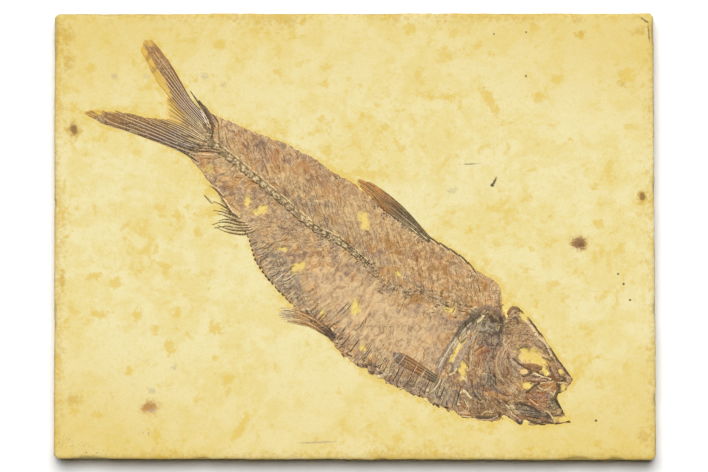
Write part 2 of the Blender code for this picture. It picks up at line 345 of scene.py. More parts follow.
class Bones:
    """Many thin bones and rays gathered into one mesh: each is a low ridge sunk into what it lies on."""

    def __init__(self, surface):
        self.surface = surface
        self.points = []
        self.faces = []
        self.colors = []
        self.flow = []
        self.count = 0

    def keep(self, points, colors, run):
        """Add one bone's points: run is how far along the bone each is."""
        self.points.append(points)
        self.colors.append(colors)
        start = np.random.default_rng(self.count).uniform(0, 60)
        across = points[:, 0] * 0.1 + start
        self.flow.append(np.column_stack([across, run * 0.6 + start, np.full(len(points), 0.5)]))
        self.count += len(points)

    def ridge(self, places, widths, height, color=None, change=1.0, lift=0.0, joints=0.0, edge=0.72):
        """A ridge along the places, of one colour or of what lies there times a change.

        joints sinks every other station, as in a segmented ray. edge is how dark the ridge's two edges are
        painted: painted shade."""
        places = np.asarray(places, float)
        steps = len(places)
        widths = np.broadcast_to(np.asarray(widths, float), (steps,))
        along = np.gradient(places, axis=0)
        along /= np.maximum(np.linalg.norm(along, axis=1), 1e-9)[:, None]
        side = np.column_stack([-along[:, 1], along[:, 0]])
        found = [self.surface.at(x, y) for x, y in places]
        base = np.array([z for z, _ in found]) + lift
        here = np.array([tone for _, tone in found])
        if color is None:
            color = here * change**SHARES
        else:
            color = stained(np.broadcast_to(np.asarray(color, float), (steps, 3)), here)
        sunk = joints * (np.arange(steps) % 2)
        ends = np.minimum(1, widths / widths.max() + 0.2)
        rows = []
        for offset, rise, _ in PROFILE:
            spot = places + side * (0.5 * offset * widths)[:, None]
            z = base + (height * ends - sunk) * rise if rise > 0 else base + height * rise
            rows.append(np.column_stack([spot, z]))
        n = self.count
        wide = len(PROFILE)
        for low in range(n, n + wide * (steps - 1), wide):
            high = low + wide
            for j in range(wide - 1):
                self.faces.append([low + j, high + j, high + j + 1, low + j + 1])
            self.faces.append([low + wide - 1, high + wide - 1, high, low])
        self.faces.append([n + j for j in range(wide)])
        self.faces.append([n + wide * steps - 1 - j for j in range(wide)])
        # Painted shading across the ridge: lighter on its crown as a painted highlight, darker at its edges
        # as painted shade
        painted_shading = np.array([edge if shade is None else shade for _, _, shade in PROFILE])
        colors = (color[:, None, :] * painted_shading[None, :, None]).reshape(-1, 3)
        self.keep(np.stack(rows, axis=1).reshape(-1, 3), colors, np.repeat(travel(places), wide))

    def flake(self, middle, half_sizes, turn, height, ragged, seed, color=None, change=1.0, edge=0.75):
        """A thin domed plate of bone with an uneven outline, painted darker at its outline and lighter on
        its dome: painted shade and a painted highlight.
        """
        corners = FLAKE_CORNERS
        random = np.random.default_rng(seed)
        angles = np.linspace(0, 2 * np.pi, corners, endpoint=False)
        radii = 1 + ragged * random.uniform(-1, 1, corners)
        turned = math.radians(turn)
        here = self.surface.at(*middle)[1]
        color = here * change**SHARES if color is None else stained(color, here)
        rings = []
        for share, rise in FLAKE_RINGS:
            a = share * radii * half_sizes[0] * np.cos(angles)
            b = share * radii * half_sizes[1] * np.sin(angles)
            x = middle[0] + a * math.cos(turned) - b * math.sin(turned)
            y = middle[1] + a * math.sin(turned) + b * math.cos(turned)
            z = self.surface.heights(x, y) + height * rise
            rings.append(np.column_stack([x, y, z]))
        centre = np.array([[*middle, self.surface.at(*middle)[0] + height]])
        points = np.vstack([*rings, centre])
        n = self.count
        for ring in range(2):
            low = n + ring * corners
            for k in range(corners):
                beside = (k + 1) % corners
                self.faces.append([low + k, low + beside, low + corners + beside, low + corners + k])
        inner = n + 2 * corners
        for k in range(corners):
            self.faces.append([inner + k, inner + (k + 1) % corners, inner + corners])
        self.faces.append([n + k for k in range(corners - 1, -1, -1)])
        grain = 1 + 0.12 * random.uniform(-1, 1, len(points))
        # Painted shading: the outline ring darkened by edge as painted shade, the dome lightened as a
        # painted highlight
        painted_shading = np.repeat((edge, 0.95, 1.05), (corners, corners, corners + 1))
        self.keep(points, np.outer(painted_shading * grain, color), points[:, 1])

    def finish(self, name, material):
        """The piece that all these bones make."""
        points = np.vstack(self.points)
        colors = np.vstack(self.colors)
        flow = np.vstack(self.flow)
        return make_piece(name, points, self.faces, colors, material, "fish", flow)


# The slab

CORNERS = np.array(((-75.0, -55.6), (75.4, -55.95), (74.8, 55.55), (-74.75, 55.45)))
CORNER_ROUNDING = 0.4
FACE = ((-74.4, 74.7), (-55.4, 55.1))  # its left, right, bottom and top edges as they are on the average
HALO = 1.7  # how far out from the fish the stone is deeper yellow
EDGE_YELLOW = 4.5  # and how far in from its edges
GRID_X = 230
GRID_Y = 170
EDGE_BAND = 0.05  # share of the slab near an edge whose points move in with it
SIDE_ROWS = 18
# Bites out of the upper edges, and then of the lower: side, place along it, half length, depth
TOP_CHIPS = (
    ("top", -60.5, 3.2, 0.7),
    ("top", -50.8, 1.6, 0.6),
    ("top", 22.0, 2.4, 0.4),
    ("top", 38.0, 1.4, 0.5),
    ("left", 49.5, 6.0, 0.7),
    ("left", 8.0, 1.3, 0.4),
    ("left", -18.5, 2.0, 0.5),
    ("left", -22.0, 2.6, 0.4),
    ("right", 51.0, 3.0, 0.6),
    ("right", 12.0, 1.8, 0.4),
    ("right", -18.0, 2.2, 0.6),
    ("right", -41.0, 2.0, 0.6),
    ("bottom", 65.5, 2.2, 0.6),
    ("bottom", 55.5, 3.2, 0.7),
    ("bottom", 7.0, 1.8, 0.4),
    ("bottom", -38.0, 2.4, 0.4),
    ("bottom", -66.0, 5.0, 0.5),
)
UNDER_CHIPS = (
    ("bottom", -68.0, 6.0, 1.2),
    ("bottom", 18.0, 4.0, 0.8),
    ("right", -50.0, 5.0, 1.1),
    ("right", 25.0, 3.5, 0.8),
    ("top", 30.0, 5.0, 1.0),
    ("top", -40.0, 3.5, 0.7),
    ("left", 8.0, 4.5, 0.9),
)
SIDE_SEEDS = {"left": 11, "right": 12, "bottom": 13, "top": 14}


def edge_inset(side, along, z):
    """How far one side stands in from its straight line: beds, wear, rough sawing and chips."""
    seed = SIDE_SEEDS[side]
    level = 0 * z
    beds = 0.16 * smooth_noise(along / 34, z / 0.62, seed)
    beds = beds + 0.1 * smooth_noise(along / 9, z / 0.45, seed + 20)
    rough = 0.07 * mottle(along, z * 2, 1.6, 2, seed + 40)
    wavy = 0.12 * smooth_noise(along / 19, level, seed + 60)
    wavy = wavy + 0.05 * mottle(along, level, 3.0, 2, seed + 80)
    arris = 0.1 * ramp(z, TOP - 0.4, TOP) ** 2 + 0.4 * ramp(-z, -0.8, 0) ** 2
    inset = beds + rough + wavy + arris
    crumbled = 1 + 0.3 * smooth_noise(along / 0.8, z / 0.8, seed)
    for chips, weight in ((TOP_CHIPS, ramp(z, TOP - 1.8, TOP)), (UNDER_CHIPS, ramp(-z, -2.4, 0))):
        for where, middle, half_length, depth in chips:
            if where == side:
                bite = np.clip(1 - ((along - middle) / half_length) ** 2, 0, 1)
                inset = inset + depth * weight * bite * crumbled
    return inset


def slab_places(p, q, z):
    """The slab in plan at height z: p runs from its left to its right side, q from bottom to top."""
    low = CORNERS[0] + (CORNERS[1] - CORNERS[0]) * p[..., None]
    high = CORNERS[3] + (CORNERS[2] - CORNERS[3]) * p[..., None]
    place = low + (high - low) * q[..., None]
    x, y = place[..., 0], place[..., 1]
    near = [np.clip(1 - share / EDGE_BAND, 0, 1) for share in (p, 1 - p, q, 1 - q)]
    new_x = x + near[0] * edge_inset("left", y, z) - near[1] * edge_inset("right", y, z)
    new_y = y + near[2] * edge_inset("bottom", x, z) - near[3] * edge_inset("top", x, z)
    for corner in CORNERS:
        inward = -np.sign(corner)
        centre = corner + inward * (CORNER_ROUNDING + 0.3)
        out_x = (new_x - centre[0]) * -inward[0]
        out_y = (new_y - centre[1]) * -inward[1]
        reach = np.hypot(out_x, out_y)
        outside = (out_x > 0) & (out_y > 0) & (reach > CORNER_ROUNDING)
        shrink = np.where(outside, CORNER_ROUNDING / np.maximum(reach, 1e-6), 1)
        new_x = np.where(outside, centre[0] + (new_x - centre[0]) * shrink, new_x)
        new_y = np.where(outside, centre[1] + (new_y - centre[1]) * shrink, new_y)
    return new_x, new_y


def from_edge(x, y):
    """How far inside the face's edges each place is, in millimetres."""
    (left, right), (bottom, top) = FACE
    inside = np.minimum(np.minimum(x - left, right - x), np.minimum(y - bottom, top - y))
    return np.maximum(inside, 0)


def from_line(points, line):
    """How far each point is from the nearest place of a line."""
    tree = KDTree(len(line))
    for k, (x, y) in enumerate(line):
        tree.insert((x, y, 0), k)
    tree.balance()
    return np.array([tree.find((x, y, 0))[2] for x, y in points])


def make_slab(material):
    """The limestone: an uneven upper face, laminated sides and a split underside."""
    p, q = grid_of(GRID_X + 1, GRID_Y + 1)
    x, y = slab_places(p, q, np.full_like(p, TOP))
    relief = 0.06 * mottle(x, y, 30, 2, 101) + 0.035 * mottle(x, y, 5, 3, 102)
    pits = 0.1 * ramp(mottle(x, y, 2.4, 2, 103), 0.75, 1.2)
    upper = stacked(x, y, FACE_LEVEL + relief - pits - 0.12 * np.exp(-from_edge(x, y) / 0.3))
    x, y = slab_places(p, q, np.zeros_like(p))
    spalled = ramp(mottle(x, y, 26, 4, 104), 0.12, 0.2) + ramp(mottle(x, y, 34, 4, 105), 0.35, 0.42)
    lower = stacked(x, y, 0.3 * spalled + 0.03 * np.abs(mottle(x, y, 2.5, 3, 106)))
    rows, columns = p.shape
    ring = ring_of(rows, columns)
    ring_p = p.ravel()[ring]
    ring_q = q.ravel()[ring]
    points = [upper.reshape(-1, 3), lower.reshape(-1, 3)]
    below = rows * columns
    faces = grid_faces(rows, columns)
    faces += [face[::-1] for face in grid_faces(rows, columns, below)]
    walls = [ring]
    start = 2 * below
    for level in np.linspace(TOP, 0, SIDE_ROWS + 1)[1:-1]:
        z = np.full(len(ring), level)
        points.append(stacked(*slab_places(ring_p, ring_q, z), z))
        walls.append(list(range(start, start + len(ring))))
        start += len(ring)
    walls.append([below + k for k in ring])
    for upper_row, lower_row in zip(walls, walls[1:]):
        for k in range(len(ring)):
            beside = (k + 1) % len(ring)
            faces.append([upper_row[k], upper_row[beside], lower_row[beside], lower_row[k]])
    points = np.vstack(points)
    # red: how near the fish, on the face alone; green: how near the slab's edge
    paint = np.zeros((len(points), 3))
    paint[:below, 0] = np.exp(-((from_line(points[:below, :2], fish_rim()) / HALO) ** 1.3))
    paint[:, 1] = np.exp(-from_edge(points[:, 0], points[:, 1]) / EDGE_YELLOW)
    return make_piece("limestone_slab", points, faces, paint, material, "slab")


# The fish in plan: the same lines as the solid's

BACK = Line(
    (
        (-36.6, 31.2), (-31.0, 28.8), (-22.0, 25.0), (-13.0, 21.4), (-5.5, 16.5), (1.0, 12.6),
        (8.0, 7.0), (14.0, 3.0), (20.0, -0.6), (27.0, -4.9), (31.0, -9.2),
    )
)
SPINE = Line(
    (
        (-37.0, 24.5), (-33.5, 21.5), (-26.0, 15.5), (-18.0, 8.8), (-10.0, 2.0), (-3.0, -1.8),
        (3.0, -7.0), (8.0, -11.8), (15.0, -14.0), (22.0, -16.2), (31.0, -19.4),
    )
)
BELLY = Line(
    (
        (-41.6, 20.2), (-36.0, 13.0), (-31.0, 6.0), (-26.8, 0.0), (-24.0, -7.7), (-16.0, -17.0),
        (-6.5, -25.5), (-2.5, -30.3), (7.5, -36.7), (15.5, -40.3), (21.5, -43.3), (28.0, -45.0),
    )
)
NAPE = Line(((29.0, -7.4), (27.5, -20.0), (22.8, -31.0), (26.0, -45.2)))
SKULL = Line(
    (
        (29.0, -7.4), (33.5, -10.0), (36.2, -12.0), (37.2, -15.5), (38.0, -18.6), (40.0, -17.2),
        (43.5, -20.2), (47.3, -25.0), (50.8, -30.3), (55.0, -36.0),
    )
)
MOUTH = Line(((55.0, -36.0), (52.9, -38.6), (50.9, -40.0), (52.2, -43.6), (54.2, -46.6)))
THROAT = Line(((26.0, -45.2), (35.0, -46.5), (37.8, -45.0), (41.5, -47.2), (47.0, -47.3), (54.2, -46.6)))
RIB_LEAN = 0.17  # share of the fish's length by which a spine leans back at the back's edge
VERTEBRAE = 38
RIM = 0.12  # how high over the stone the film's edge is
FLANK_LENGTH = 76
FLANK_DEPTH = 17  # from the backbone to the back's edge or the belly's
BELLY_SCALE = 1.6  # the size of the belly's scales
UPRIGHT = -17.5  # the y above which the head's fine bones stand upright, as on the nape
# How many points each film has: down its rows, and along each row
FLANK_GRID = (450, 170)
HEAD_GRID = (215, 260)
TAIL_GRID = (360, 130)
CHAIN_GRID = (900, 40)
FIN_ROWS = 30


def body_at(share, across):
    """Places on the flank: share runs from the tail root to the nape, across from -1 at the back's edge
    through 0 on the backbone to 1 at the belly's. Lines of equal share follow the spines and ribs."""
    share = np.asarray(share, float)
    across = np.asarray(across, float)
    lean = RIB_LEAN * np.sin(np.pi * np.clip(share, 0, 1))
    spine = SPINE.at(share)
    back = BACK.at(share - lean)
    belly = BELLY.at(share - 0.3 * lean)
    up = np.maximum(-across, 0)[..., None]
    down = np.maximum(across, 0)[..., None]
    return spine + (back - spine) * up + (belly - spine) * down


def head_at(forward, across):
    """Places on the head, stretched between its four edges: forward from nape to mouth, across from the
    skull's top to the throat."""
    t = np.asarray(forward, float)[..., None]
    s = np.asarray(across, float)[..., None]
    sides = (1 - s) * SKULL.at(forward) + s * THROAT.at(forward)
    ends = (1 - t) * NAPE.at(across) + t * MOUTH.at(across)
    nape_corners = (1 - s) * SKULL.at(0.0) + s * THROAT.at(0.0)
    mouth_corners = (1 - s) * SKULL.at(1.0) + s * THROAT.at(1.0)
    return sides + ends - (1 - t) * nape_corners - t * mouth_corners


# The fish's film: what is left of its skin and flesh, as a thin uneven sheet

TRUNK_RISE = 0.45
HEAD_RISE = 0.55
# Broad colours over the trunk: middle, half sizes, turn, colour, strength
TRUNK_REGIONS = (
    ((-14.0, 17.5), (24.0, 3.2), -25, RUST, 0.35),
    ((-3.5, 12.0), (10.0, 2.2), -40, PLUM, 0.3),
    ((-8.0, 14.5), (7.0, 2.4), -35, ORANGE * 1.1, 0.5),
    ((6.0, 5.0), (14.0, 2.4), -38, ORANGE * 1.15, 0.55),
    ((0.5, 5.0), (7.0, 4.5), -30, PEACH * (1.03, 0.98, 0.85), 0.7),
    ((-16.0, 13.5), (5.0, 2.4), -30, PEACH * (1.0, 0.93, 0.75), 0.55),
    ((18.0, -7.0), (11.0, 4.5), -32, ORANGE * 1.2, 0.5),
    ((-32.0, 20.5), (5.5, 3.5), -40, TAN * (0.95, 0.95, 0.8), 0.6),
    ((-20.0, 10.8), (12.0, 2.2), -38, OLIVE * 1.5, 0.4),
    ((-3.0, -0.6), (11.0, 2.2), -42, OLIVE * 1.5, 0.4),
    ((-12.0, 7.5), (9.0, 3.5), -32, OLIVE * 1.2, 0.25),
    ((-24.0, 3.5), (7.0, 6.0), -45, TAN, 0.5),
    ((2.0, -19.0), (15.0, 7.0), -32, PEACH, 0.85),
    ((14.0, -25.0), (9.0, 7.0), -20, PEACH, 0.6),
    ((14.0, -36.5), (11.0, 3.2), -25, SLATE, 0.55),
    ((-18.2, -9.2), (9.0, 3.2), -52, SLATE * (1.5, 1.68, 1.6), 0.8),
    ((-15.5, -12.5), (9.5, 2.2), -50, SLATE, 0.45),
    ((-6.0, -24.0), (7.0, 2.4), -42, SLATE, 0.2),
    ((22.5, -39.2), (5.5, 3.2), -12, ASH * 0.9, 0.5),
    ((17.0, -15.0), (9.0, 1.4), -14, OLIVE, 0.4),
    ((33.0, -14.0), (4.5, 4.5), 0, ORANGE * 1.25, 0.5),
    ((35.4, -15.4), (1.2, 3.0), 5, PEACH * 1.05, 0.6),
)
# Broad colours over the head
HEAD_REGIONS = (
    ((40.0, -32.0), (16.0, 16.0), 0, BROWN * (1.2, 1.0, 0.85), 0.35),
    ((33.0, -37.0), (7.0, 9.0), -12, BROWN * (1.12, 1.02, 0.9), 0.55),
    ((23.0, -39.5), (4.0, 3.0), -20, SLATE * 1.2, 0.5),
    ((46.5, -41.5), (7.0, 5.5), -10, BROWN * (1.4, 1.12, 0.8), 0.6),
    ((33.4, -21.2), (4.8, 3.0), -12, DARK * 0.95, 0.9),
    ((34.2, -23.9), (3.9, 2.0), -10, SLATE * 0.85, 0.85),
    ((34.0, -26.4), (3.2, 2.0), 0, PLUM * 0.95, 0.9),
    ((33.8, -28.8), (2.4, 2.6), -10, PLUM * 1.1, 0.7),
    ((28.6, -21.9), (3.8, 1.7), 40, SLATE * 0.75, 0.8),
    ((41.0, -23.0), (4.4, 3.2), -38, BROWN * 1.2, 0.5),
    ((40.0, -26.0), (1.8, 1.2), 0, ORANGE * 0.95, 0.5),
    ((45.8, -26.9), (1.7, 1.1), -35, MAUVE * 1.05, 0.6),
    ((41.8, -27.9), (1.9, 0.9), 0, OLIVE, 0.65),
    ((50.4, -31.2), (1.3, 4.8), 33, BROWN * 1.2, 0.6),
    ((52.2, -35.6), (1.4, 0.9), -20, BROWN, 0.7),
    ((38.6, -30.4), (1.6, 3.2), 10, PINK * 0.95, 0.5),
    ((31.6, -31.0), (2.2, 3.6), -25, RUST * 1.2, 0.4),
    ((33.7, -32.4), (1.1, 2.8), -4, PLUM * 1.25, 0.7),
    ((34.1, -36.2), (1.7, 2.2), 0, SLATE * 0.85, 0.85),
    ((35.3, -38.4), (1.2, 0.6), -20, PLUM, 0.85),
    ((30.6, -39.0), (1.7, 2.4), -25, PLUM * 0.9, 0.9),
    ((28.4, -37.8), (1.6, 1.0), -45, PLUM * 1.1, 0.6),
    ((38.0, -33.6), (2.4, 3.2), 0, BROWN * 1.02, 0.75),
    ((39.6, -37.9), (0.6, 1.1), 0, PINK, 0.7),
    ((41.6, -37.3), (1.3, 1.2), 0, ORANGE * 1.15, 0.7),
    ((42.0, -39.8), (2.6, 1.2), -10, BROWN, 0.6),
    ((35.4, -39.8), (3.2, 0.6), -10, ORANGE * 1.15, 0.75),
    ((33.0, -43.0), (6.4, 2.4), -3, BROWN * (0.9, 0.8, 0.6), 0.85),
    ((27.0, -43.0), (0.8, 1.2), 0, RUST * 1.15, 0.9),
    ((39.6, -43.6), (1.8, 1.6), -40, TAN * 0.9, 0.5),
    ((47.6, -37.6), (2.8, 1.0), 8, ORANGE * 1.15, 0.85),
    ((46.6, -41.0), (3.6, 2.7), -15, RUST * (1.12, 1.02, 0.95), 0.9),
    ((46.0, -40.4), (1.4, 0.6), 0, PINK * 0.8, 0.5),
    ((48.7, -39.8), (1.0, 0.8), 0, PLUM, 0.85),
    ((50.1, -42.3), (1.9, 2.1), 30, OLIVE * 0.85, 0.9),
    ((42.8, -43.1), (3.2, 1.3), -8, SLATE * (1.0, 0.95, 0.85), 0.85),
    ((46.2, -44.6), (3.8, 0.8), -6, SLATE * 0.9, 0.85),
    ((46.8, -46.4), (3.4, 0.7), -12, BROWN * 0.95, 0.85),
    ((50.0, -44.2), (0.9, 1.0), 0, BROWN * 1.15, 0.9),
)
# Bare stone showing through: middle, half sizes, turn
BARE = (
    ((-26.5, 9.0), (0.7, 1.3), -20),
    ((-23.2, 6.6), (1.9, 0.9), 25),
    ((-13.8, -7.7), (1.7, 1.0), 28),
    ((-17.5, -3.3), (1.5, 0.6), 0),
    ((2.5, 4.0), (1.2, 2.2), 20),
    ((0.2, -17.8), (1.2, 2.1), 10),
    ((-7.8, -19.5), (0.7, 0.9), 0),
    ((2.3, -28.0), (0.9, 0.7), 0),
    ((24.0, -18.5), (1.4, 0.7), -20),
    ((11.0, -9.3), (1.0, 0.5), -40),
    ((26.2, -28.0), (0.6, 1.7), -38),
    ((27.1, -33.3), (1.0, 2.1), 5),
    ((44.6, -30.0), (3.7, 1.8), -22),
    ((47.6, -33.6), (0.9, 1.3), 20),
    ((42.4, -34.0), (1.1, 0.7), 0),
    ((43.5, -37.5), (1.4, 0.9), 20),
    ((37.9, -17.6), (0.8, 2.4), 4),
    ((42.5, -20.4), (1.6, 0.7), -46),
    ((52.3, -37.9), (0.7, 1.2), 0),
    ((51.9, -34.0), (0.8, 0.5), -40),
    ((51.9, -45.8), (1.9, 0.7), 0),
)
# How much smoother than elsewhere the film is: middle, half sizes, turn, share
CALM = (
    ((1.0, -17.5), (17.0, 6.5), -32, 0.74),
    ((14.0, -24.0), (9.0, 7.0), -20, 0.7),
    ((-26.0, 17.5), (11.0, 7.0), -35, 0.4),
    ((44.6, -30.6), (4.6, 2.8), -35, 0.9),
    ((-15.0, 17.0), (22.0, 3.0), -25, 0.3),
)
# Bones of the shoulder, drawn as strokes: points along each, width, rise, colour, strength. The cream
# strokes beside the bones are painted highlights
SHOULDER_STROKES = (
    (
        ((27.2, -23.2), (24.8, -27.0), (22.8, -30.4), (20.8, -34.0)),
        2.0, 0.2, ASH * (1.02, 1.0, 1.05), 0.5,
    ),
    (
        ((29.6, -22.6), (27.8, -25.6), (26.2, -29.4), (24.4, -33.8)),
        1.2, 0.15, ASH * (0.95, 0.93, 0.95), 0.45,
    ),
    (((27.8, -25.8), (26.4, -27.4), (25.2, -29.3), (24.2, -31.2)), 1.0, 0.0, BARE_YELLOW, 0.85),
    (
        ((27.4, -23.9), (25.6, -25.4), (24.3, -27.4), (22.6, -30.0), (21.2, -32.8)),
        0.8, 0.3, ASH * 1.1, 0.75,
    ),
    (((26.9, -24.0), (25.0, -25.8), (23.7, -27.9), (22.0, -30.4)), 0.25, 0.1, SLATE, 0.8),
    (((26.2, -24.6), (24.0, -27.8), (22.2, -31.0), (20.4, -34.4)), 0.25, 0.15, CREAM * 1.15, 0.8),
    (((25.4, -26.8), (23.6, -29.8), (22.4, -32.2), (21.6, -34.6)), 0.3, 0.1, SLATE * 0.8, 0.8),
    (((28.8, -23.8), (26.6, -27.2), (25.4, -30.0), (23.6, -33.6)), 0.25, 0.15, CREAM * 1.1, 0.8),
    (((27.9, -24.2), (26.2, -25.9), (24.8, -28.0), (23.4, -30.4)), 0.25, 0.1, CREAM * 1.1, 0.8),
    (((30.2, -24.9), (28.6, -26.8), (27.8, -28.6), (26.6, -31.0), (25.2, -33.4)), 0.7, 0.25, ASH, 0.85),
    (
        ((25.8, -24.8), (27.0, -22.8), (28.5, -21.4), (30.2, -20.2), (31.2, -19.8)),
        1.2, 0.25, DARK * 1.1, 0.85,
    ),
    (((29.4, -21.6), (27.6, -23.4), (26.4, -25.0), (25.0, -26.8)), 0.3, 0.1, CREAM, 0.7),
    (((25.3, -24.9), (23.6, -27.2), (21.6, -30.2), (20.6, -32.0)), 0.3, 0.1, SLATE * 0.9, 0.8),
    (((28.2, -25.6), (26.8, -26.6), (25.9, -27.6)), 0.3, 0.2, CREAM * 1.1, 0.9),
    (((28.0, -25.5), (27.4, -26.1), (26.7, -26.6)), 0.5, 0.1, DARK, 0.8),
    (((30.7, -25.0), (29.5, -27.0), (28.7, -29.0), (28.6, -31.0)), 0.25, 0.1, DARK, 0.7),
    (((24.6, -28.6), (23.2, -31.0), (22.4, -33.4)), 0.25, 0.1, DARK * 1.2, 0.7),
    (((31.2, -23.6), (29.8, -26.2), (29.3, -29.6), (29.0, -33.0)), 0.3, 0.12, CREAM, 0.6),
    (((20.6, -33.4), (20.8, -34.4), (20.2, -34.8)), 0.9, 0.1, RUST * (0.9, 1.0, 1.2), 0.7),
    (((24.0, -34.7), (24.9, -34.2), (25.7, -33.2)), 0.4, 0.2, CREAM * 1.15, 0.95),
    (((24.2, -31.6), (24.8, -32.8), (24.2, -34.0)), 0.5, 0.1, OLIVE, 0.8),
    (((26.9, -35.2), (27.5, -35.7), (28.2, -36.3)), 0.35, 0.2, CREAM * 1.1, 0.9),
    (((26.6, -35.6), (27.2, -36.0)), 0.5, 0.1, DARK, 0.8),
    (
        ((26.4, -39.3), (27.2, -38.6), (28.0, -39.0), (28.6, -39.9), (29.2, -40.5)),
        0.5, 0.25, CREAM * 1.1, 0.95,
    ),
    (((28.2, -38.3), (28.9, -38.9)), 0.4, 0.25, CREAM * 1.15, 0.9),
    (((25.4, -38.4), (26.4, -39.8), (26.6, -41.4)), 0.4, 0.1, SLATE, 0.6),
    (((29.4, -36.0), (29.6, -38.0), (30.6, -40.2), (31.8, -41.0)), 0.5, 0.15, DARK, 0.6),
    (((27.6, -41.0), (28.4, -42.4), (28.6, -43.6)), 0.3, 0.15, CREAM, 0.7),
    (((29.6, -41.8), (29.7, -42.6)), 0.5, 0.2, CREAM * 1.1, 0.9),
    (((26.4, -44.1), (27.6, -44.3), (28.9, -44.4)), 0.35, 0.2, PEACH * 1.05, 0.9),
    (((26.8, -44.6), (28.0, -44.8), (29.2, -44.9)), 0.3, 0.2, RUST, 0.9),
    (((27.0, -45.0), (28.2, -45.2), (29.2, -45.3)), 0.3, 0.2, CREAM, 0.9),
    (((27.2, -45.4), (28.6, -45.7), (30.2, -46.0)), 0.4, 0.2, BROWN * 0.7, 0.95),
)
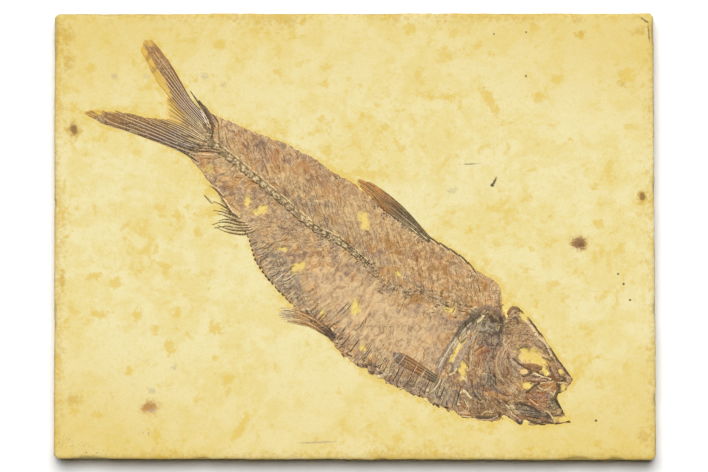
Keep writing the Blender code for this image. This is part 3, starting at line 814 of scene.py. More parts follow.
# Bones, cracks and stains of the head, with cream strokes beside them that are painted highlights
HEAD_STROKES = (
    (
        ((30.9, -18.7), (32.4, -18.0), (34.0, -18.1), (35.4, -18.5), (36.6, -18.9)),
        0.9, 0.2, MAUVE * 0.75, 0.85,
    ),
    (((34.7, -18.9), (35.5, -18.9)), 0.9, 0.2, ASH * 1.05, 0.9),
    (((33.0, -19.0), (33.6, -19.1)), 0.5, 0.2, CREAM * 1.15, 0.95),
    (((31.0, -21.5), (31.8, -20.9), (32.3, -20.0)), 0.6, 0.2, CREAM, 0.95),
    (((31.2, -22.8), (32.4, -23.4), (33.6, -23.2), (34.6, -23.6)), 0.5, 0.15, ASH, 0.8),
    (((33.4, -21.6), (34.2, -22.2), (35.2, -22.0)), 0.5, 0.15, ASH * 0.9, 0.7),
    (((34.2, -20.0), (34.6, -21.0), (35.4, -21.2)), 1.0, 0.1, DARK * 0.75, 0.8),
    (((36.6, -20.4), (37.0, -22.0), (36.6, -23.8)), 0.9, 0.1, DARK * 0.85, 0.8),
    (((35.2, -24.0), (36.0, -24.3), (36.2, -25.6)), 0.8, 0.1, DARK, 0.7),
    (((35.5, -24.3), (35.8, -24.4)), 0.45, 0.2, CREAM * 1.25, 0.95),
    (((37.3, -22.1), (37.8, -22.5)), 0.45, 0.15, CREAM * 1.1, 0.9),
    (((37.2, -23.6), (37.9, -23.2)), 0.5, 0.15, CREAM * 1.1, 0.9),
    (((37.3, -24.6), (38.0, -25.0)), 0.4, 0.15, CREAM, 0.85),
    (((37.6, -25.8), (37.2, -26.6), (37.8, -27.2)), 0.4, 0.15, CREAM, 0.7),
    (((31.0, -23.8), (32.6, -24.0), (34.2, -24.6)), 0.35, 0.1, DARK, 0.8),
    (
        ((33.0, -25.0), (33.0, -26.8), (33.8, -27.2), (35.6, -27.2), (36.4, -26.2)),
        0.35, 0.1, DARK * 1.1, 0.7,
    ),
    (((30.6, -29.4), (31.4, -28.6), (32.6, -27.9)), 0.35, 0.2, ORANGE * 1.5, 0.9),
    (((30.2, -28.8), (31.2, -28.0), (32.4, -27.4)), 0.4, 0.1, RUST * 0.8, 0.8),
    (((30.8, -30.2), (31.8, -29.2), (33.4, -28.6)), 0.5, 0.1, RUST, 0.8),
    (((38.4, -19.6), (39.2, -18.4), (40.2, -17.9), (41.2, -18.4)), 0.7, 0.25, BROWN * 1.1, 0.9),
    (((39.0, -17.4), (40.0, -17.1), (40.8, -17.6), (41.5, -18.5), (42.0, -19.2)), 0.35, 0.3, DARK, 0.85),
    (((39.6, -19.4), (40.4, -19.4)), 0.8, 0.15, RUST, 0.8),
    (((38.4, -20.2), (39.6, -20.4), (40.4, -20.9)), 0.4, 0.1, DARK, 0.6),
    (((40.4, -20.3), (40.9, -20.9), (41.0, -22.0)), 0.6, 0.15, DARK * 1.05, 0.85),
    (((40.1, -21.2), (40.4, -21.8)), 0.6, 0.1, DARK * 0.9, 0.8),
    (((40.0, -20.4), (40.5, -20.2)), 0.4, 0.15, PEACH * 1.1, 0.85),
    (((41.4, -19.6), (42.2, -19.6)), 0.45, 0.1, BROWN * 0.9, 0.85),
    (((42.5, -20.2), (43.3, -20.8)), 0.4, 0.1, BROWN, 0.8),
    (((43.6, -20.4), (45.2, -22.6), (46.2, -24.0), (47.4, -25.1)), 0.4, 0.3, DARK, 0.95),
    (((43.3, -21.4), (44.8, -23.2), (45.8, -24.8)), 0.7, 0.1, CREAM, 0.75),
    (((45.8, -24.9), (47.2, -26.2), (48.4, -27.6)), 0.7, 0.15, CREAM, 0.7),
    (((46.2, -26.0), (47.4, -26.9), (48.2, -28.0)), 0.35, 0.1, OLIVE, 0.8),
    (((47.6, -25.2), (48.6, -26.6), (49.5, -28.2)), 0.3, 0.2, OLIVE, 0.7),
    (
        ((49.2, -27.9), (50.2, -29.8), (51.2, -31.3), (52.4, -32.7), (53.2, -34.2), (53.8, -34.9)),
        0.5, 0.3, DARK, 0.95,
    ),
    (((48.6, -28.4), (49.4, -29.8), (50.4, -31.2)), 0.35, 0.2, CREAM, 0.85),
    (((47.8, -27.6), (48.4, -29.0), (49.3, -30.4), (50.0, -31.6)), 0.35, 0.1, DARK * 1.2, 0.8),
    (((48.8, -29.6), (49.4, -30.7)), 0.35, 0.2, CREAM * 1.1, 0.9),
    (((50.2, -31.0), (50.8, -32.0), (51.6, -33.0)), 0.3, 0.2, PINK, 0.8),
    (((49.0, -32.6), (49.0, -33.4), (49.5, -34.2)), 0.5, 0.1, DARK * 1.1, 0.8),
    (((50.4, -32.8), (50.9, -34.0), (51.3, -34.9)), 0.4, 0.1, RUST * 0.8, 0.8),
    (((49.9, -33.8), (50.2, -34.8)), 0.4, 0.1, RUST, 0.8),
    (((47.2, -30.4), (48.3, -30.7), (49.2, -31.2)), 0.4, 0.15, OLIVE * 0.8, 0.85),
    (((46.0, -29.2), (47.2, -29.9), (48.2, -30.2)), 0.4, 0.15, PEACH, 0.8),
    (((46.4, -28.8), (47.4, -29.3), (48.2, -29.9)), 0.35, 0.15, ORANGE, 0.7),
    (((46.2, -27.6), (47.2, -28.2), (47.9, -29.2)), 0.6, 0.1, OLIVE, 0.7),
    (((48.2, -31.4), (48.6, -32.3), (48.2, -33.2)), 0.35, 0.1, OLIVE, 0.75),
    (((47.8, -33.1), (47.9, -34.1)), 0.35, 0.1, ORANGE, 0.8),
    (((40.0, -27.0), (41.8, -26.8), (43.6, -27.0), (45.0, -28.0)), 0.35, 0.15, PINK * 1.05, 0.75),
    (((40.5, -28.4), (40.8, -28.5)), 0.5, 0.05, DARK, 0.85),
    (((41.2, -28.2), (42.4, -27.6), (43.2, -27.6)), 0.35, 0.05, DARK, 0.7),
    (((41.0, -29.2), (41.5, -29.0)), 0.3, 0.05, DARK * 1.2, 0.7),
    (
        ((39.8, -30.5), (40.8, -31.5), (41.8, -32.2), (42.9, -32.9), (43.6, -33.1)),
        0.4, 0.2, DARK * 1.1, 0.9,
    ),
    (((39.4, -31.2), (40.4, -32.2), (41.6, -33.0)), 0.5, 0.15, ASH * 1.1, 0.8),
    (((39.6, -33.2), (40.2, -34.2), (41.0, -34.8)), 0.5, 0.15, ASH * 1.1, 0.8),
    (((39.2, -31.9), (39.8, -32.9), (40.6, -33.6)), 0.25, 0.1, OLIVE, 0.8),
    (((43.2, -32.5), (44.6, -32.4), (46.0, -32.8), (46.6, -33.0)), 1.1, 0.3, BROWN * 1.3, 0.95),
    (((43.8, -33.4), (45.0, -33.4), (45.9, -33.5)), 0.9, 0.3, BROWN * 1.15, 0.95),
    (((45.6, -32.9), (46.4, -33.1), (46.8, -33.2)), 0.5, 0.1, OLIVE, 0.7),
    (((44.3, -34.2), (43.3, -34.6), (42.3, -35.0)), 0.6, 0.25, DARK * 1.25, 0.95),
    (((41.6, -33.6), (42.4, -34.2), (43.2, -33.8)), 0.7, 0.1, PEACH * 1.1, 0.8),
    (((45.6, -34.0), (47.0, -34.7), (48.6, -35.1), (50.2, -35.1)), 0.35, 0.25, DARK * 1.1, 0.95),
    (((44.9, -34.3), (46.4, -34.9), (48.0, -35.5), (49.4, -35.8)), 0.35, 0.3, CREAM * 1.1, 0.95),
    (((43.8, -34.9), (45.0, -35.0), (46.4, -35.2)), 0.35, 0.2, DARK * 1.1, 0.85),
    (((45.0, -35.2), (46.0, -35.4)), 0.2, 0.2, CREAM, 0.8),
    (((44.0, -35.5), (46.0, -35.5), (48.4, -35.7)), 0.25, 0.2, BROWN * 0.7, 0.9),
    (((44.3, -35.8), (46.2, -35.8), (47.8, -36.0)), 0.35, 0.3, PINK * 1.15, 0.95),
    (
        ((43.4, -36.2), (45.3, -36.4), (47.0, -36.4), (49.0, -36.1), (50.2, -35.6)),
        0.4, 0.2, BROWN * 0.75, 0.95,
    ),
    (((49.3, -35.2), (50.2, -35.6), (50.8, -35.9)), 0.8, 0.2, RUST * (0.9, 1.05, 1.2), 0.9),
    (((46.6, -36.9), (48.0, -36.6), (50.0, -36.5)), 0.4, 0.3, PEACH * 1.1, 0.9),
    (((44.8, -36.9), (46.4, -36.7)), 0.3, 0.1, DARK, 0.8),
    (((46.3, -36.8), (45.3, -37.3), (44.4, -38.1), (43.2, -38.9)), 0.6, 0.25, DARK * 1.15, 0.9),
    (((47.0, -37.2), (46.0, -37.8), (44.6, -38.6)), 0.5, 0.1, PLUM * 0.9, 0.6),
    (((44.2, -38.6), (45.6, -38.4)), 0.3, 0.1, DARK, 0.7),
    (((44.4, -39.0), (45.6, -38.9)), 0.25, 0.2, CREAM, 0.8),
    (((46.2, -37.8), (47.0, -38.3), (47.8, -38.1)), 0.35, 0.25, CREAM * 1.05, 0.9),
    (((45.9, -38.8), (47.4, -38.7), (48.8, -38.0)), 0.35, 0.25, PEACH * 1.15, 0.9),
    (((48.5, -38.4), (49.2, -38.0)), 0.5, 0.15, RUST * 0.8, 0.9),
    (((47.2, -37.2), (48.6, -37.1), (49.8, -37.2)), 0.35, 0.2, ORANGE * 0.9, 0.8),
    (((49.2, -39.2), (49.9, -39.6), (50.3, -38.8)), 0.6, 0.2, CREAM * 0.95, 0.75),
    (((47.0, -39.1), (47.3, -40.1)), 0.7, 0.1, RUST * 0.9, 0.85),
    (
        ((50.8, -36.9), (51.3, -38.0), (50.7, -39.3), (50.2, -40.4), (49.2, -40.9)),
        0.8, 0.3, OLIVE * 0.7, 0.95,
    ),
    (((50.8, -40.5), (50.4, -41.4), (49.4, -42.6)), 0.3, 0.2, ASH, 0.6),
    (((50.4, -40.9), (51.0, -42.0), (52.1, -43.3), (52.0, -44.1)), 0.7, 0.3, DARK * 0.9, 0.95),
    (((51.0, -42.2), (51.8, -43.0)), 0.2, 0.2, ASH * 1.1, 0.8),
    (((50.4, -44.9), (51.2, -44.8), (52.6, -44.4)), 0.4, 0.2, DARK * 1.1, 0.8),
    (((43.9, -40.9), (45.0, -41.7), (45.9, -42.4)), 0.35, 0.3, PEACH * 1.15, 0.95),
    (((44.6, -40.9), (45.4, -41.5), (46.0, -41.9)), 0.25, 0.1, RUST * 0.75, 0.85),
    (((43.6, -41.3), (44.6, -42.1), (45.2, -42.8)), 0.25, 0.1, RUST * 0.7, 0.85),
    (((43.4, -41.9), (44.6, -42.9)), 0.2, 0.15, ASH, 0.7),
    (((40.4, -41.9), (42.6, -42.0), (44.6, -42.9), (46.4, -43.9)), 0.6, 0.2, DARK * 0.95, 0.85),
    (((41.0, -42.6), (42.2, -42.6)), 0.25, 0.2, ASH, 0.8),
    (((41.6, -43.8), (44.0, -44.1), (45.0, -44.2)), 0.25, 0.2, ASH, 0.7),
    (((43.0, -45.0), (45.0, -45.3), (46.4, -45.6)), 0.4, 0.2, BROWN * 0.55, 0.9),
    (((45.0, -44.9), (47.0, -45.0), (48.6, -45.6)), 0.25, 0.1, DARK, 0.7),
    (((47.2, -45.8), (48.5, -45.9)), 0.35, 0.3, CREAM * 1.15, 0.95),
    (((47.0, -46.3), (48.4, -46.4), (49.6, -46.8)), 0.5, 0.2, DARK, 0.8),
    (
        ((48.5, -43.9), (49.2, -44.8), (49.9, -45.8), (50.3, -46.8), (50.9, -47.7)),
        0.35, 0.35, CREAM * 1.1, 0.95,
    ),
    (((48.0, -44.0), (48.8, -45.0), (49.6, -45.9)), 0.3, 0.2, DARK, 0.85),
    (
        ((43.4, -45.9), (45.5, -46.7), (48.0, -47.4), (50.0, -47.7), (51.6, -47.8), (53.4, -47.6)),
        0.4, 0.35, DARK, 0.95,
    ),
    (((50.4, -46.9), (51.8, -46.9), (53.2, -47.0)), 0.5, 0.3, DARK * 0.95, 0.95),
    (((53.2, -46.4), (54.1, -46.5), (54.2, -47.1), (53.5, -47.6)), 0.45, 0.3, DARK, 0.95),
    (((51.0, -46.4), (52.8, -46.5)), 0.35, 0.2, PEACH * 1.1, 0.8),
    (((53.7, -34.8), (54.0, -35.2)), 0.5, 0.2, DARK * 0.8, 0.95),
    (((53.5, -35.4), (53.8, -35.3)), 0.45, 0.2, DARK * 0.8, 0.95),
    (((54.7, -35.7), (55.1, -36.1)), 0.4, 0.2, OLIVE * 0.8, 0.9),
    (((54.2, -36.2), (54.6, -36.8)), 0.4, 0.2, CREAM * 1.15, 0.9),
    (((51.3, -36.2), (52.4, -36.0), (53.0, -36.2)), 0.35, 0.2, DARK, 0.85),
    (((51.0, -36.7), (52.2, -36.7), (53.4, -37.0)), 0.25, 0.2, CREAM * 1.1, 0.85),
    (((51.8, -36.5), (52.2, -36.6)), 0.35, 0.1, DARK * 0.9, 0.9),
    (((52.9, -37.2), (53.4, -37.6)), 0.5, 0.2, OLIVE * 0.8, 0.9),
    (((53.0, -38.2), (53.0, -39.2), (51.4, -39.2)), 0.35, 0.25, OLIVE * 0.75, 0.9),
    (((51.0, -35.0), (52.0, -35.2), (52.6, -35.4)), 0.3, 0.1, DARK, 0.7),
    (((52.4, -34.6), (53.0, -34.7)), 0.35, 0.1, CREAM * 1.1, 0.85),
    (((30.9, -45.2), (33.0, -45.4), (35.4, -45.2), (36.4, -44.8)), 0.8, 0.25, OLIVE * 0.6, 0.95),
    (((29.4, -45.3), (30.4, -45.6)), 0.9, 0.2, BROWN * 0.6, 0.9),
    (((30.7, -45.9), (33.0, -46.0), (34.8, -45.7), (35.9, -45.0)), 0.35, 0.3, PINK * 1.15, 0.95),
    (((31.0, -46.2), (33.0, -46.5), (35.0, -46.6), (36.6, -46.3)), 0.3, 0.25, BROWN * 0.65, 0.9),
    (((35.8, -45.6), (36.8, -44.8)), 0.3, 0.2, CREAM * 1.1, 0.9),
    (((36.2, -46.0), (37.2, -45.2)), 0.3, 0.2, DARK, 0.85),
    (((36.7, -44.8), (37.4, -44.4)), 0.3, 0.2, DARK, 0.8),
    (((31.2, -43.6), (31.4, -42.0), (32.4, -41.2)), 0.35, 0.2, PINK, 0.8),
    (((31.9, -44.6), (33.2, -43.8), (34.6, -44.2), (35.0, -43.4)), 0.25, 0.15, CREAM, 0.7),
    (((33.2, -37.4), (33.6, -38.0)), 0.5, 0.2, PINK * 1.15, 0.9),
    (((32.2, -38.0), (33.0, -38.0), (34.0, -38.6)), 0.35, 0.1, RUST, 0.85),
    (((32.4, -34.6), (33.0, -35.6), (32.8, -36.6)), 0.5, 0.15, ASH * 0.95, 0.7),
    (((32.8, -34.0), (33.1, -33.2)), 0.35, 0.2, CREAM * 1.1, 0.9),
    (((34.5, -36.9), (34.8, -36.6)), 0.3, 0.2, CREAM * 1.1, 0.9),
    (((35.0, -34.4), (35.4, -36.0), (35.4, -37.2)), 0.4, 0.1, DARK * 0.9, 0.8),
    (((33.8, -33.0), (34.2, -35.2), (34.0, -37.6)), 0.3, 0.1, DARK, 0.7),
    (((31.8, -34.6), (31.6, -36.2), (31.8, -37.6)), 0.5, 0.1, OLIVE * 0.9, 0.7),
    (((36.4, -39.0), (37.4, -39.6), (38.6, -39.8)), 0.5, 0.15, PLUM * 0.85, 0.85),
    (((35.4, -40.6), (36.2, -41.4), (36.4, -42.0)), 0.5, 0.1, SLATE * 0.8, 0.8),
    (((37.4, -41.0), (38.4, -42.2), (39.2, -43.6)), 0.35, 0.1, SLATE * 0.8, 0.75),
    (((38.0, -42.2), (39.0, -43.2), (39.4, -44.4), (40.4, -45.2)), 0.25, 0.2, CREAM * 1.05, 0.85),
    (((38.8, -42.8), (39.8, -44.0), (41.0, -45.2)), 0.25, 0.1, DARK, 0.7),
    (((39.6, -42.6), (40.4, -43.8), (41.6, -44.6)), 0.25, 0.2, CREAM, 0.8),
    (((40.0, -44.8), (41.2, -45.8)), 0.25, 0.2, PEACH, 0.7),
    (((38.6, -45.2), (39.2, -46.2), (40.0, -46.8)), 0.5, 0.25, SLATE * 0.8, 0.9),
    (((39.2, -45.8), (39.6, -46.4)), 0.35, 0.2, CREAM, 0.8),
    (((40.8, -46.0), (41.4, -47.0), (42.0, -46.4)), 0.7, 0.25, SLATE * 0.75, 0.9),
    (((41.8, -44.2), (42.2, -45.4)), 0.35, 0.2, PINK, 0.7),
    (((36.2, -29.0), (35.6, -31.6), (36.2, -34.4), (37.4, -36.4)), 0.35, 0.2, CREAM * 0.95, 0.6),
    (((37.0, -29.6), (36.6, -32.0), (37.0, -33.6)), 0.35, 0.2, PINK, 0.7),
    (((38.2, -32.6), (38.6, -34.0), (38.0, -35.2)), 0.5, 0.1, RUST * 0.75, 0.8),
    (((33.2, -10.5), (34.3, -10.7)), 0.6, 0.2, DARK, 0.9),
    (((35.3, -12.0), (36.1, -12.3)), 0.5, 0.2, DARK, 0.85),
    (((36.9, -14.1), (37.2, -15.2)), 0.4, 0.2, DARK * 1.1, 0.85),
    (((30.9, -10.4), (31.0, -12.0), (31.6, -14.0)), 0.4, 0.1, OLIVE * 0.8, 0.8),
    (((33.9, -12.9), (34.1, -14.8)), 0.5, 0.1, MAUVE * 0.7, 0.8),
    (((36.3, -14.4), (36.1, -16.2), (36.6, -18.2)), 0.7, 0.1, MAUVE * 0.75, 0.75),
    (((27.4, -9.2), (26.8, -12.0), (27.0, -15.0)), 0.3, 0.1, CREAM, 0.7),
    (((29.6, -9.8), (29.2, -12.4), (30.0, -15.4)), 0.3, 0.1, CREAM, 0.7),
    (((30.2, -9.6), (29.9, -12.8), (31.0, -16.0)), 0.35, 0.1, BROWN, 0.7),
    (((28.2, -12.6), (29.0, -14.6), (29.6, -16.6)), 0.35, 0.1, BROWN * 0.9, 0.7),
    (((31.4, -12.6), (31.9, -15.4), (32.6, -17.4)), 0.3, 0.1, CREAM, 0.6),
    (((25.0, -17.6), (26.6, -17.2), (28.0, -18.2)), 0.4, 0.1, DARK, 0.6),
    (((28.8, -18.9), (29.8, -18.0), (30.6, -17.6)), 0.4, 0.15, CREAM, 0.8),
)
# Stains on the film: middle, half sizes, turn, colour, strength
STAINS = (
    ((8.7, -1.8), (1.0, 1.9), 20, AMBER, 0.95),
    ((10.8, -4.2), (1.3, 1.0), 0, AMBER * 0.9, 0.9),
    ((9.8, -8.8), (1.5, 1.3), 10, AMBER * 1.1, 0.9),
    ((15.5, -5.0), (1.1, 1.2), 0, RUST, 0.6),
    ((19.5, -7.8), (1.2, 1.0), 0, AMBER * 0.8, 0.8),
    ((22.5, -8.3), (1.3, 1.0), 0, AMBER, 0.8),
    ((16.0, -10.5), (1.2, 0.8), 0, ORANGE, 0.6),
    ((15.8, -15.6), (2.0, 1.2), -10, AMBER, 0.95),
    ((12.0, -12.0), (1.2, 0.8), 0, ORANGE, 0.6),
    ((32.6, -12.4), (1.1, 1.3), 20, AMBER, 0.85),
    ((28.6, -15.4), (1.2, 1.0), 30, AMBER * 0.95, 0.85),
    ((22.8, -13.4), (1.0, 0.8), 0, AMBER, 0.6),
    ((25.8, -16.2), (1.2, 0.6), 0, OLIVE, 0.6),
    ((-6.5, 11.5), (1.2, 1.2), 0, ORANGE, 0.6),
    ((-12.0, 17.5), (1.5, 1.2), 0, ORANGE, 0.6),
    ((-13.5, 14.0), (1.3, 1.0), 0, ORANGE * 1.1, 0.5),
    ((-8.5, 6.0), (0.7, 1.8), 20, ORANGE, 0.5),
    ((-24.0, 23.6), (1.5, 1.2), 0, PLUM, 0.5),
    ((-3.6, 9.0), (1.4, 1.2), 0, ORANGE, 0.6),
    ((-23.5, 13.2), (1.2, 0.8), -40, ORANGE * 1.25, 0.7),
    ((-30.5, 12.5), (1.4, 1.2), 0, ORANGE * 1.1, 0.5),
    ((-36.5, 16.8), (1.4, 0.9), 0, BARE_YELLOW, 0.6),
    ((37.3, -14.4), (0.9, 3.4), 12, PEACH * (1.05, 1.03, 0.85), 0.85),
    ((42.0, -29.9), (1.0, 1.1), 0, CREAM * 1.05, 0.9),
    ((46.9, -29.6), (1.3, 0.9), -30, PEACH * 1.1, 0.7),
    ((43.5, -31.6), (2.2, 0.35), -5, PEACH * 1.1, 0.8),
)


def flesh(x, y, flow, seed, head=False):
    """The film's colours: blots on a ground, then the broad regions, stains and bare patches."""
    needles = mottle(flow[..., 0] / 0.9, flow[..., 1] / 2.8, 1, 3, seed)
    moved_x = x + 1.3 * mottle(x, y, 3.0, 2, seed + 2)
    moved_y = y + 1.3 * mottle(x, y, 3.0, 2, seed + 4)
    cloud = mottle(moved_x, moved_y, 6.5, 4, seed + 6)
    blot = mottle(moved_x, moved_y, 3.0, 4, seed + 11)
    fleck = mottle(moved_x, moved_y, 1.2, 3, seed + 16)
    ground = TAN * (0.98, 0.92, 0.88)
    paint = tint(ground, 0.9 * ramp(cloud, -0.1, 0.3), PEACH * (1.04, 0.99, 0.87))
    paint = tint(paint, 0.8 * ramp(-cloud, 0.0, 0.4), MAUVE * (1.0, 0.91, 0.93))
    paint = tint(paint, 0.85 * ramp(blot, 0.12, 0.28), ORANGE * (1.18, 1.08, 0.9))
    paint = tint(paint, 0.85 * ramp(-blot, 0.16, 0.32), MAUVE * (0.84, 0.75, 0.77))
    for middle, half_sizes, turn, color, strength in TRUNK_REGIONS:
        mask = patch(x, y, middle, half_sizes, turn, ragged=0.4, soft=0.3, seed=seed + 22)
        paint = tint(paint, strength * mask * (0.85 + 0.4 * fleck), color)
    crumb = mottle(moved_x, moved_y, 0.7, 2, seed + 26)
    paint = tint(paint, 0.55 * ramp(fleck, 0.2, 0.5), BROWN * (1.15, 1.0, 0.85))
    paint = tint(paint, 0.5 * ramp(-fleck, 0.2, 0.5), PEACH * (1.12, 1.12, 1.05))
    paint = tint(paint, 0.4 * ramp(crumb, 0.25, 0.6), MAUVE * 0.75)
    paint = tint(paint, 0.4 * ramp(-crumb, 0.25, 0.6), PEACH * 1.05)
    for middle, half_sizes, turn, color, strength in HEAD_REGIONS:
        mask = patch(x, y, middle, half_sizes, turn, ragged=0.45, soft=0.3, seed=seed + 23)
        paint = tint(paint, np.clip(strength * mask * (0.95 + 0.5 * crumb), 0, 1), color)
    paint = tint(paint, 0.25 * ramp(needles, 0.2, 0.7), CREAM)
    paint = tint(paint, 0.25 * ramp(-needles, 0.2, 0.7), BROWN * 0.9)
    front = patch(x, y, (18.5, -7.0), (15.0, 6.5), -38, ragged=0.4, soft=0.5, seed=seed + 29)
    speck = mottle(moved_x, moved_y, 1.0, 2, seed + 28)
    paint = tint(paint, 0.8 * front * ramp(speck, 0.2, 0.4), AMBER * 0.95)
    paint = tint(paint, 0.5 * front * ramp(-speck, 0.15, 0.4), PEACH * (1.12, 1.1, 1.0))
    calm = np.full(x.shape, -0.1 if head else 0.05)
    for k, (middle, half_sizes, turn, color, strength) in enumerate(STAINS):
        mask = patch(x, y, middle, half_sizes, turn, ragged=0.6, soft=0.5, seed=seed + 30 + k)
        paint = tint(paint, np.clip(strength * mask * (0.9 + 0.5 * fleck), 0, 1), color)
        calm = np.maximum(calm, 0.6 * strength * mask)
    bare = np.zeros(x.shape)
    for k, (middle, half_sizes, turn) in enumerate(BARE):
        mask = patch(x, y, middle, half_sizes, turn, ragged=0.55, soft=0.4, seed=seed + 60 + k)
        bare = np.maximum(bare, mask)
    calm = np.maximum(calm, bare)
    for middle, half_sizes, turn, share in CALM:
        mask = patch(x, y, middle, half_sizes, turn, ragged=0.3, soft=0.5, seed=seed + 90)
        calm = np.maximum(calm, share * mask)
    paint = tint(paint, bare * (0.92 - 0.15 * ramp(-crumb, 0.1, 0.6)), BARE_YELLOW * (1.03, 1.03, 1.08))
    return paint, needles, bare, np.concatenate([flow, calm[..., None]], axis=-1)


def drawn(x, y, strokes, paint, height, flow):
    """Paint, heights and flow with strokes of bone laid on: each has its own width, rise and colour."""
    wander = 0.1 * smooth_noise(x / 0.9, y / 0.9, 90)
    stray = 0.1 * smooth_noise(x / 0.9, y / 0.9, 91)
    grain = mottle(x, y, 0.7, 2, 92)
    calm = flow[..., 2]
    for points, width, rise, color, strength in strokes:
        line = Line(points).points[::4]
        reach = distance_to(line, x + wander, y + stray) / (0.5 * width)
        mask = 1 - ramp(reach + 0.2 * grain, 0.75, 1.2)
        paint = tint(paint, strength * mask, color)
        height = height + rise * mask * (1 - 0.4 * reach * mask)
        calm = np.maximum(calm, 0.75 * mask)
    return paint, height, np.concatenate([flow[..., :2], calm[..., None]], axis=-1)


def on_bare(place):
    """Whether a place is on one of the bare patches."""
    return blots(np.asarray(place[0]), np.asarray(place[1]), BARE) > 0.45


def trunk_film(surface, material):
    """The flank from the tail's root to the nape, with the scales of its belly and its shoulder bones."""
    share, across = grid_of(*FLANK_GRID, second=(-1, 1))
    places = body_at(share, across)
    x, y = places[..., 0], places[..., 1]
    run = FLANK_LENGTH * share
    flow = stacked(run, FLANK_DEPTH * across)
    # Behind the ribs and just under the backbone, the fine bones run level
    level = patch(x, y, (-20.0, 3.0), (13.0, 6.0), -42, ragged=0.4, soft=0.1, seed=260) > 0.5
    flow = np.where(level[..., None], stacked(y + 40, x), flow)
    crushed = patch(x, y, (21.5, -39.0), (7.0, 4.0), -15, ragged=0.4, soft=0.1, seed=261) > 0.5
    flow = np.where(crushed[..., None], stacked(x, 2 * y), flow)
    paint, needles, bare, flow = flesh(x, y, flow, 200)
    scallops = np.abs(np.sin(np.pi * FLANK_DEPTH * across / BELLY_SCALE))
    scales = np.sin(2 * np.pi * (run + 0.5 * scallops) / BELLY_SCALE + needles)
    on_belly = patch(x, y, (1.0, -22.5), (15.0, 7.0), -32, soft=0.5, seed=230)
    paint = paint * (1 + 0.07 * (scales * on_belly))[..., None]
    height = RIM + TRUNK_RISE * (1 - np.abs(across) ** 2.2) + 0.05 * needles
    height += 0.05 * mottle(x, y, 1.5, 3, 240)
    height += 0.03 * scales * on_belly - 0.16 * bare
    torn = ramp(np.abs(across) + 0.03 * mottle(x, y, 2.2, 3, 250), 0.965, 1.0)
    height = torn_off(height, torn)
    paint, height, flow = drawn(x, y, SHOULDER_STROKES, paint, height, flow)
    lay_film(surface, "flank_film", x, y, height, paint, flow, material)


# Bones and hollows of the head: middle, half sizes, turn, height
HEAD_RELIEF = (
    ((45.0, -30.3), (3.4, 2.2), -45, -0.55),
    ((45.0, -30.3), (5.6, 4.2), -45, 0.35),
    ((42.0, -23.0), (7.5, 2.2), -52, 0.5),
    ((33.5, -16.0), (4.5, 6.0), -20, 0.35),
    ((32.0, -30.0), (5.0, 9.0), -12, 0.45),
    ((38.5, -33.5), (2.2, 8.0), -8, 0.4),
    ((50.5, -35.5), (5.0, 1.6), -50, 0.35),
    ((44.0, -38.5), (4.0, 2.4), 20, 0.45),
    ((48.0, -44.5), (6.0, 1.8), -4, 0.4),
    ((32.5, -43.5), (6.0, 2.0), 4, 0.3),
)
EYE = (45.5, -31.5)


def head_film(surface, material):
    """The head, with its bones and hollows, its torn outline and all its strokes."""
    forward, across = grid_of(*HEAD_GRID)
    places = head_at(forward, across)
    x, y = places[..., 0], places[..., 1]
    # The head's fine bones run round the eye, but stand upright on the nape
    dx = x - EYE[0]
    dy = y - EYE[1]
    nape = y + 0.5 * mottle(x, y, 2, 2, 360) > UPRIGHT
    flow = np.where(nape[..., None], places, stacked(np.hypot(dx, dy), 9 * np.arctan2(dy, dx)))
    paint, needles, bare, flow = flesh(x, y, flow, 300, head=True)
    height = np.full(x.shape, HEAD_RISE)
    for middle, half_sizes, turn, rise in HEAD_RELIEF:
        along, aside = in_oval(x, y, middle, half_sizes, turn)
        height += rise * np.exp(-(along**2) - aside**2)
    edge = np.minimum(np.minimum(across, 1 - across) * 5, (1 - forward) * 6)
    rough = 0.1 * mottle(x, y, 1.6, 3, 340) + 0.04 * needles
    height = RIM + (height + rough - 0.2 * bare) * np.clip(edge, 0, 1) * np.clip(0.4 + 6 * forward, 0, 1)
    notch = patch(x, y, (37.9, -17.6), (0.7, 2.2), 4, ragged=0.5, seed=370)
    for middle, half_sizes in (((43.0, -46.9), (0.9, 0.9)), ((37.9, -46.6), (0.9, 1.0))):
        notch = np.maximum(notch, patch(x, y, middle, half_sizes, ragged=0.4, seed=371))
    torn = np.maximum(ramp(-edge + 0.05 * mottle(x, y, 1.4, 3, 350), -0.07, 0.0), notch)
    height = torn_off(height, torn)
    paint, height, flow = drawn(x, y, SHOULDER_STROKES + HEAD_STROKES, paint, height, flow)
    lay_film(surface, "head_film", x, y, height, paint, flow, material)


# The fins

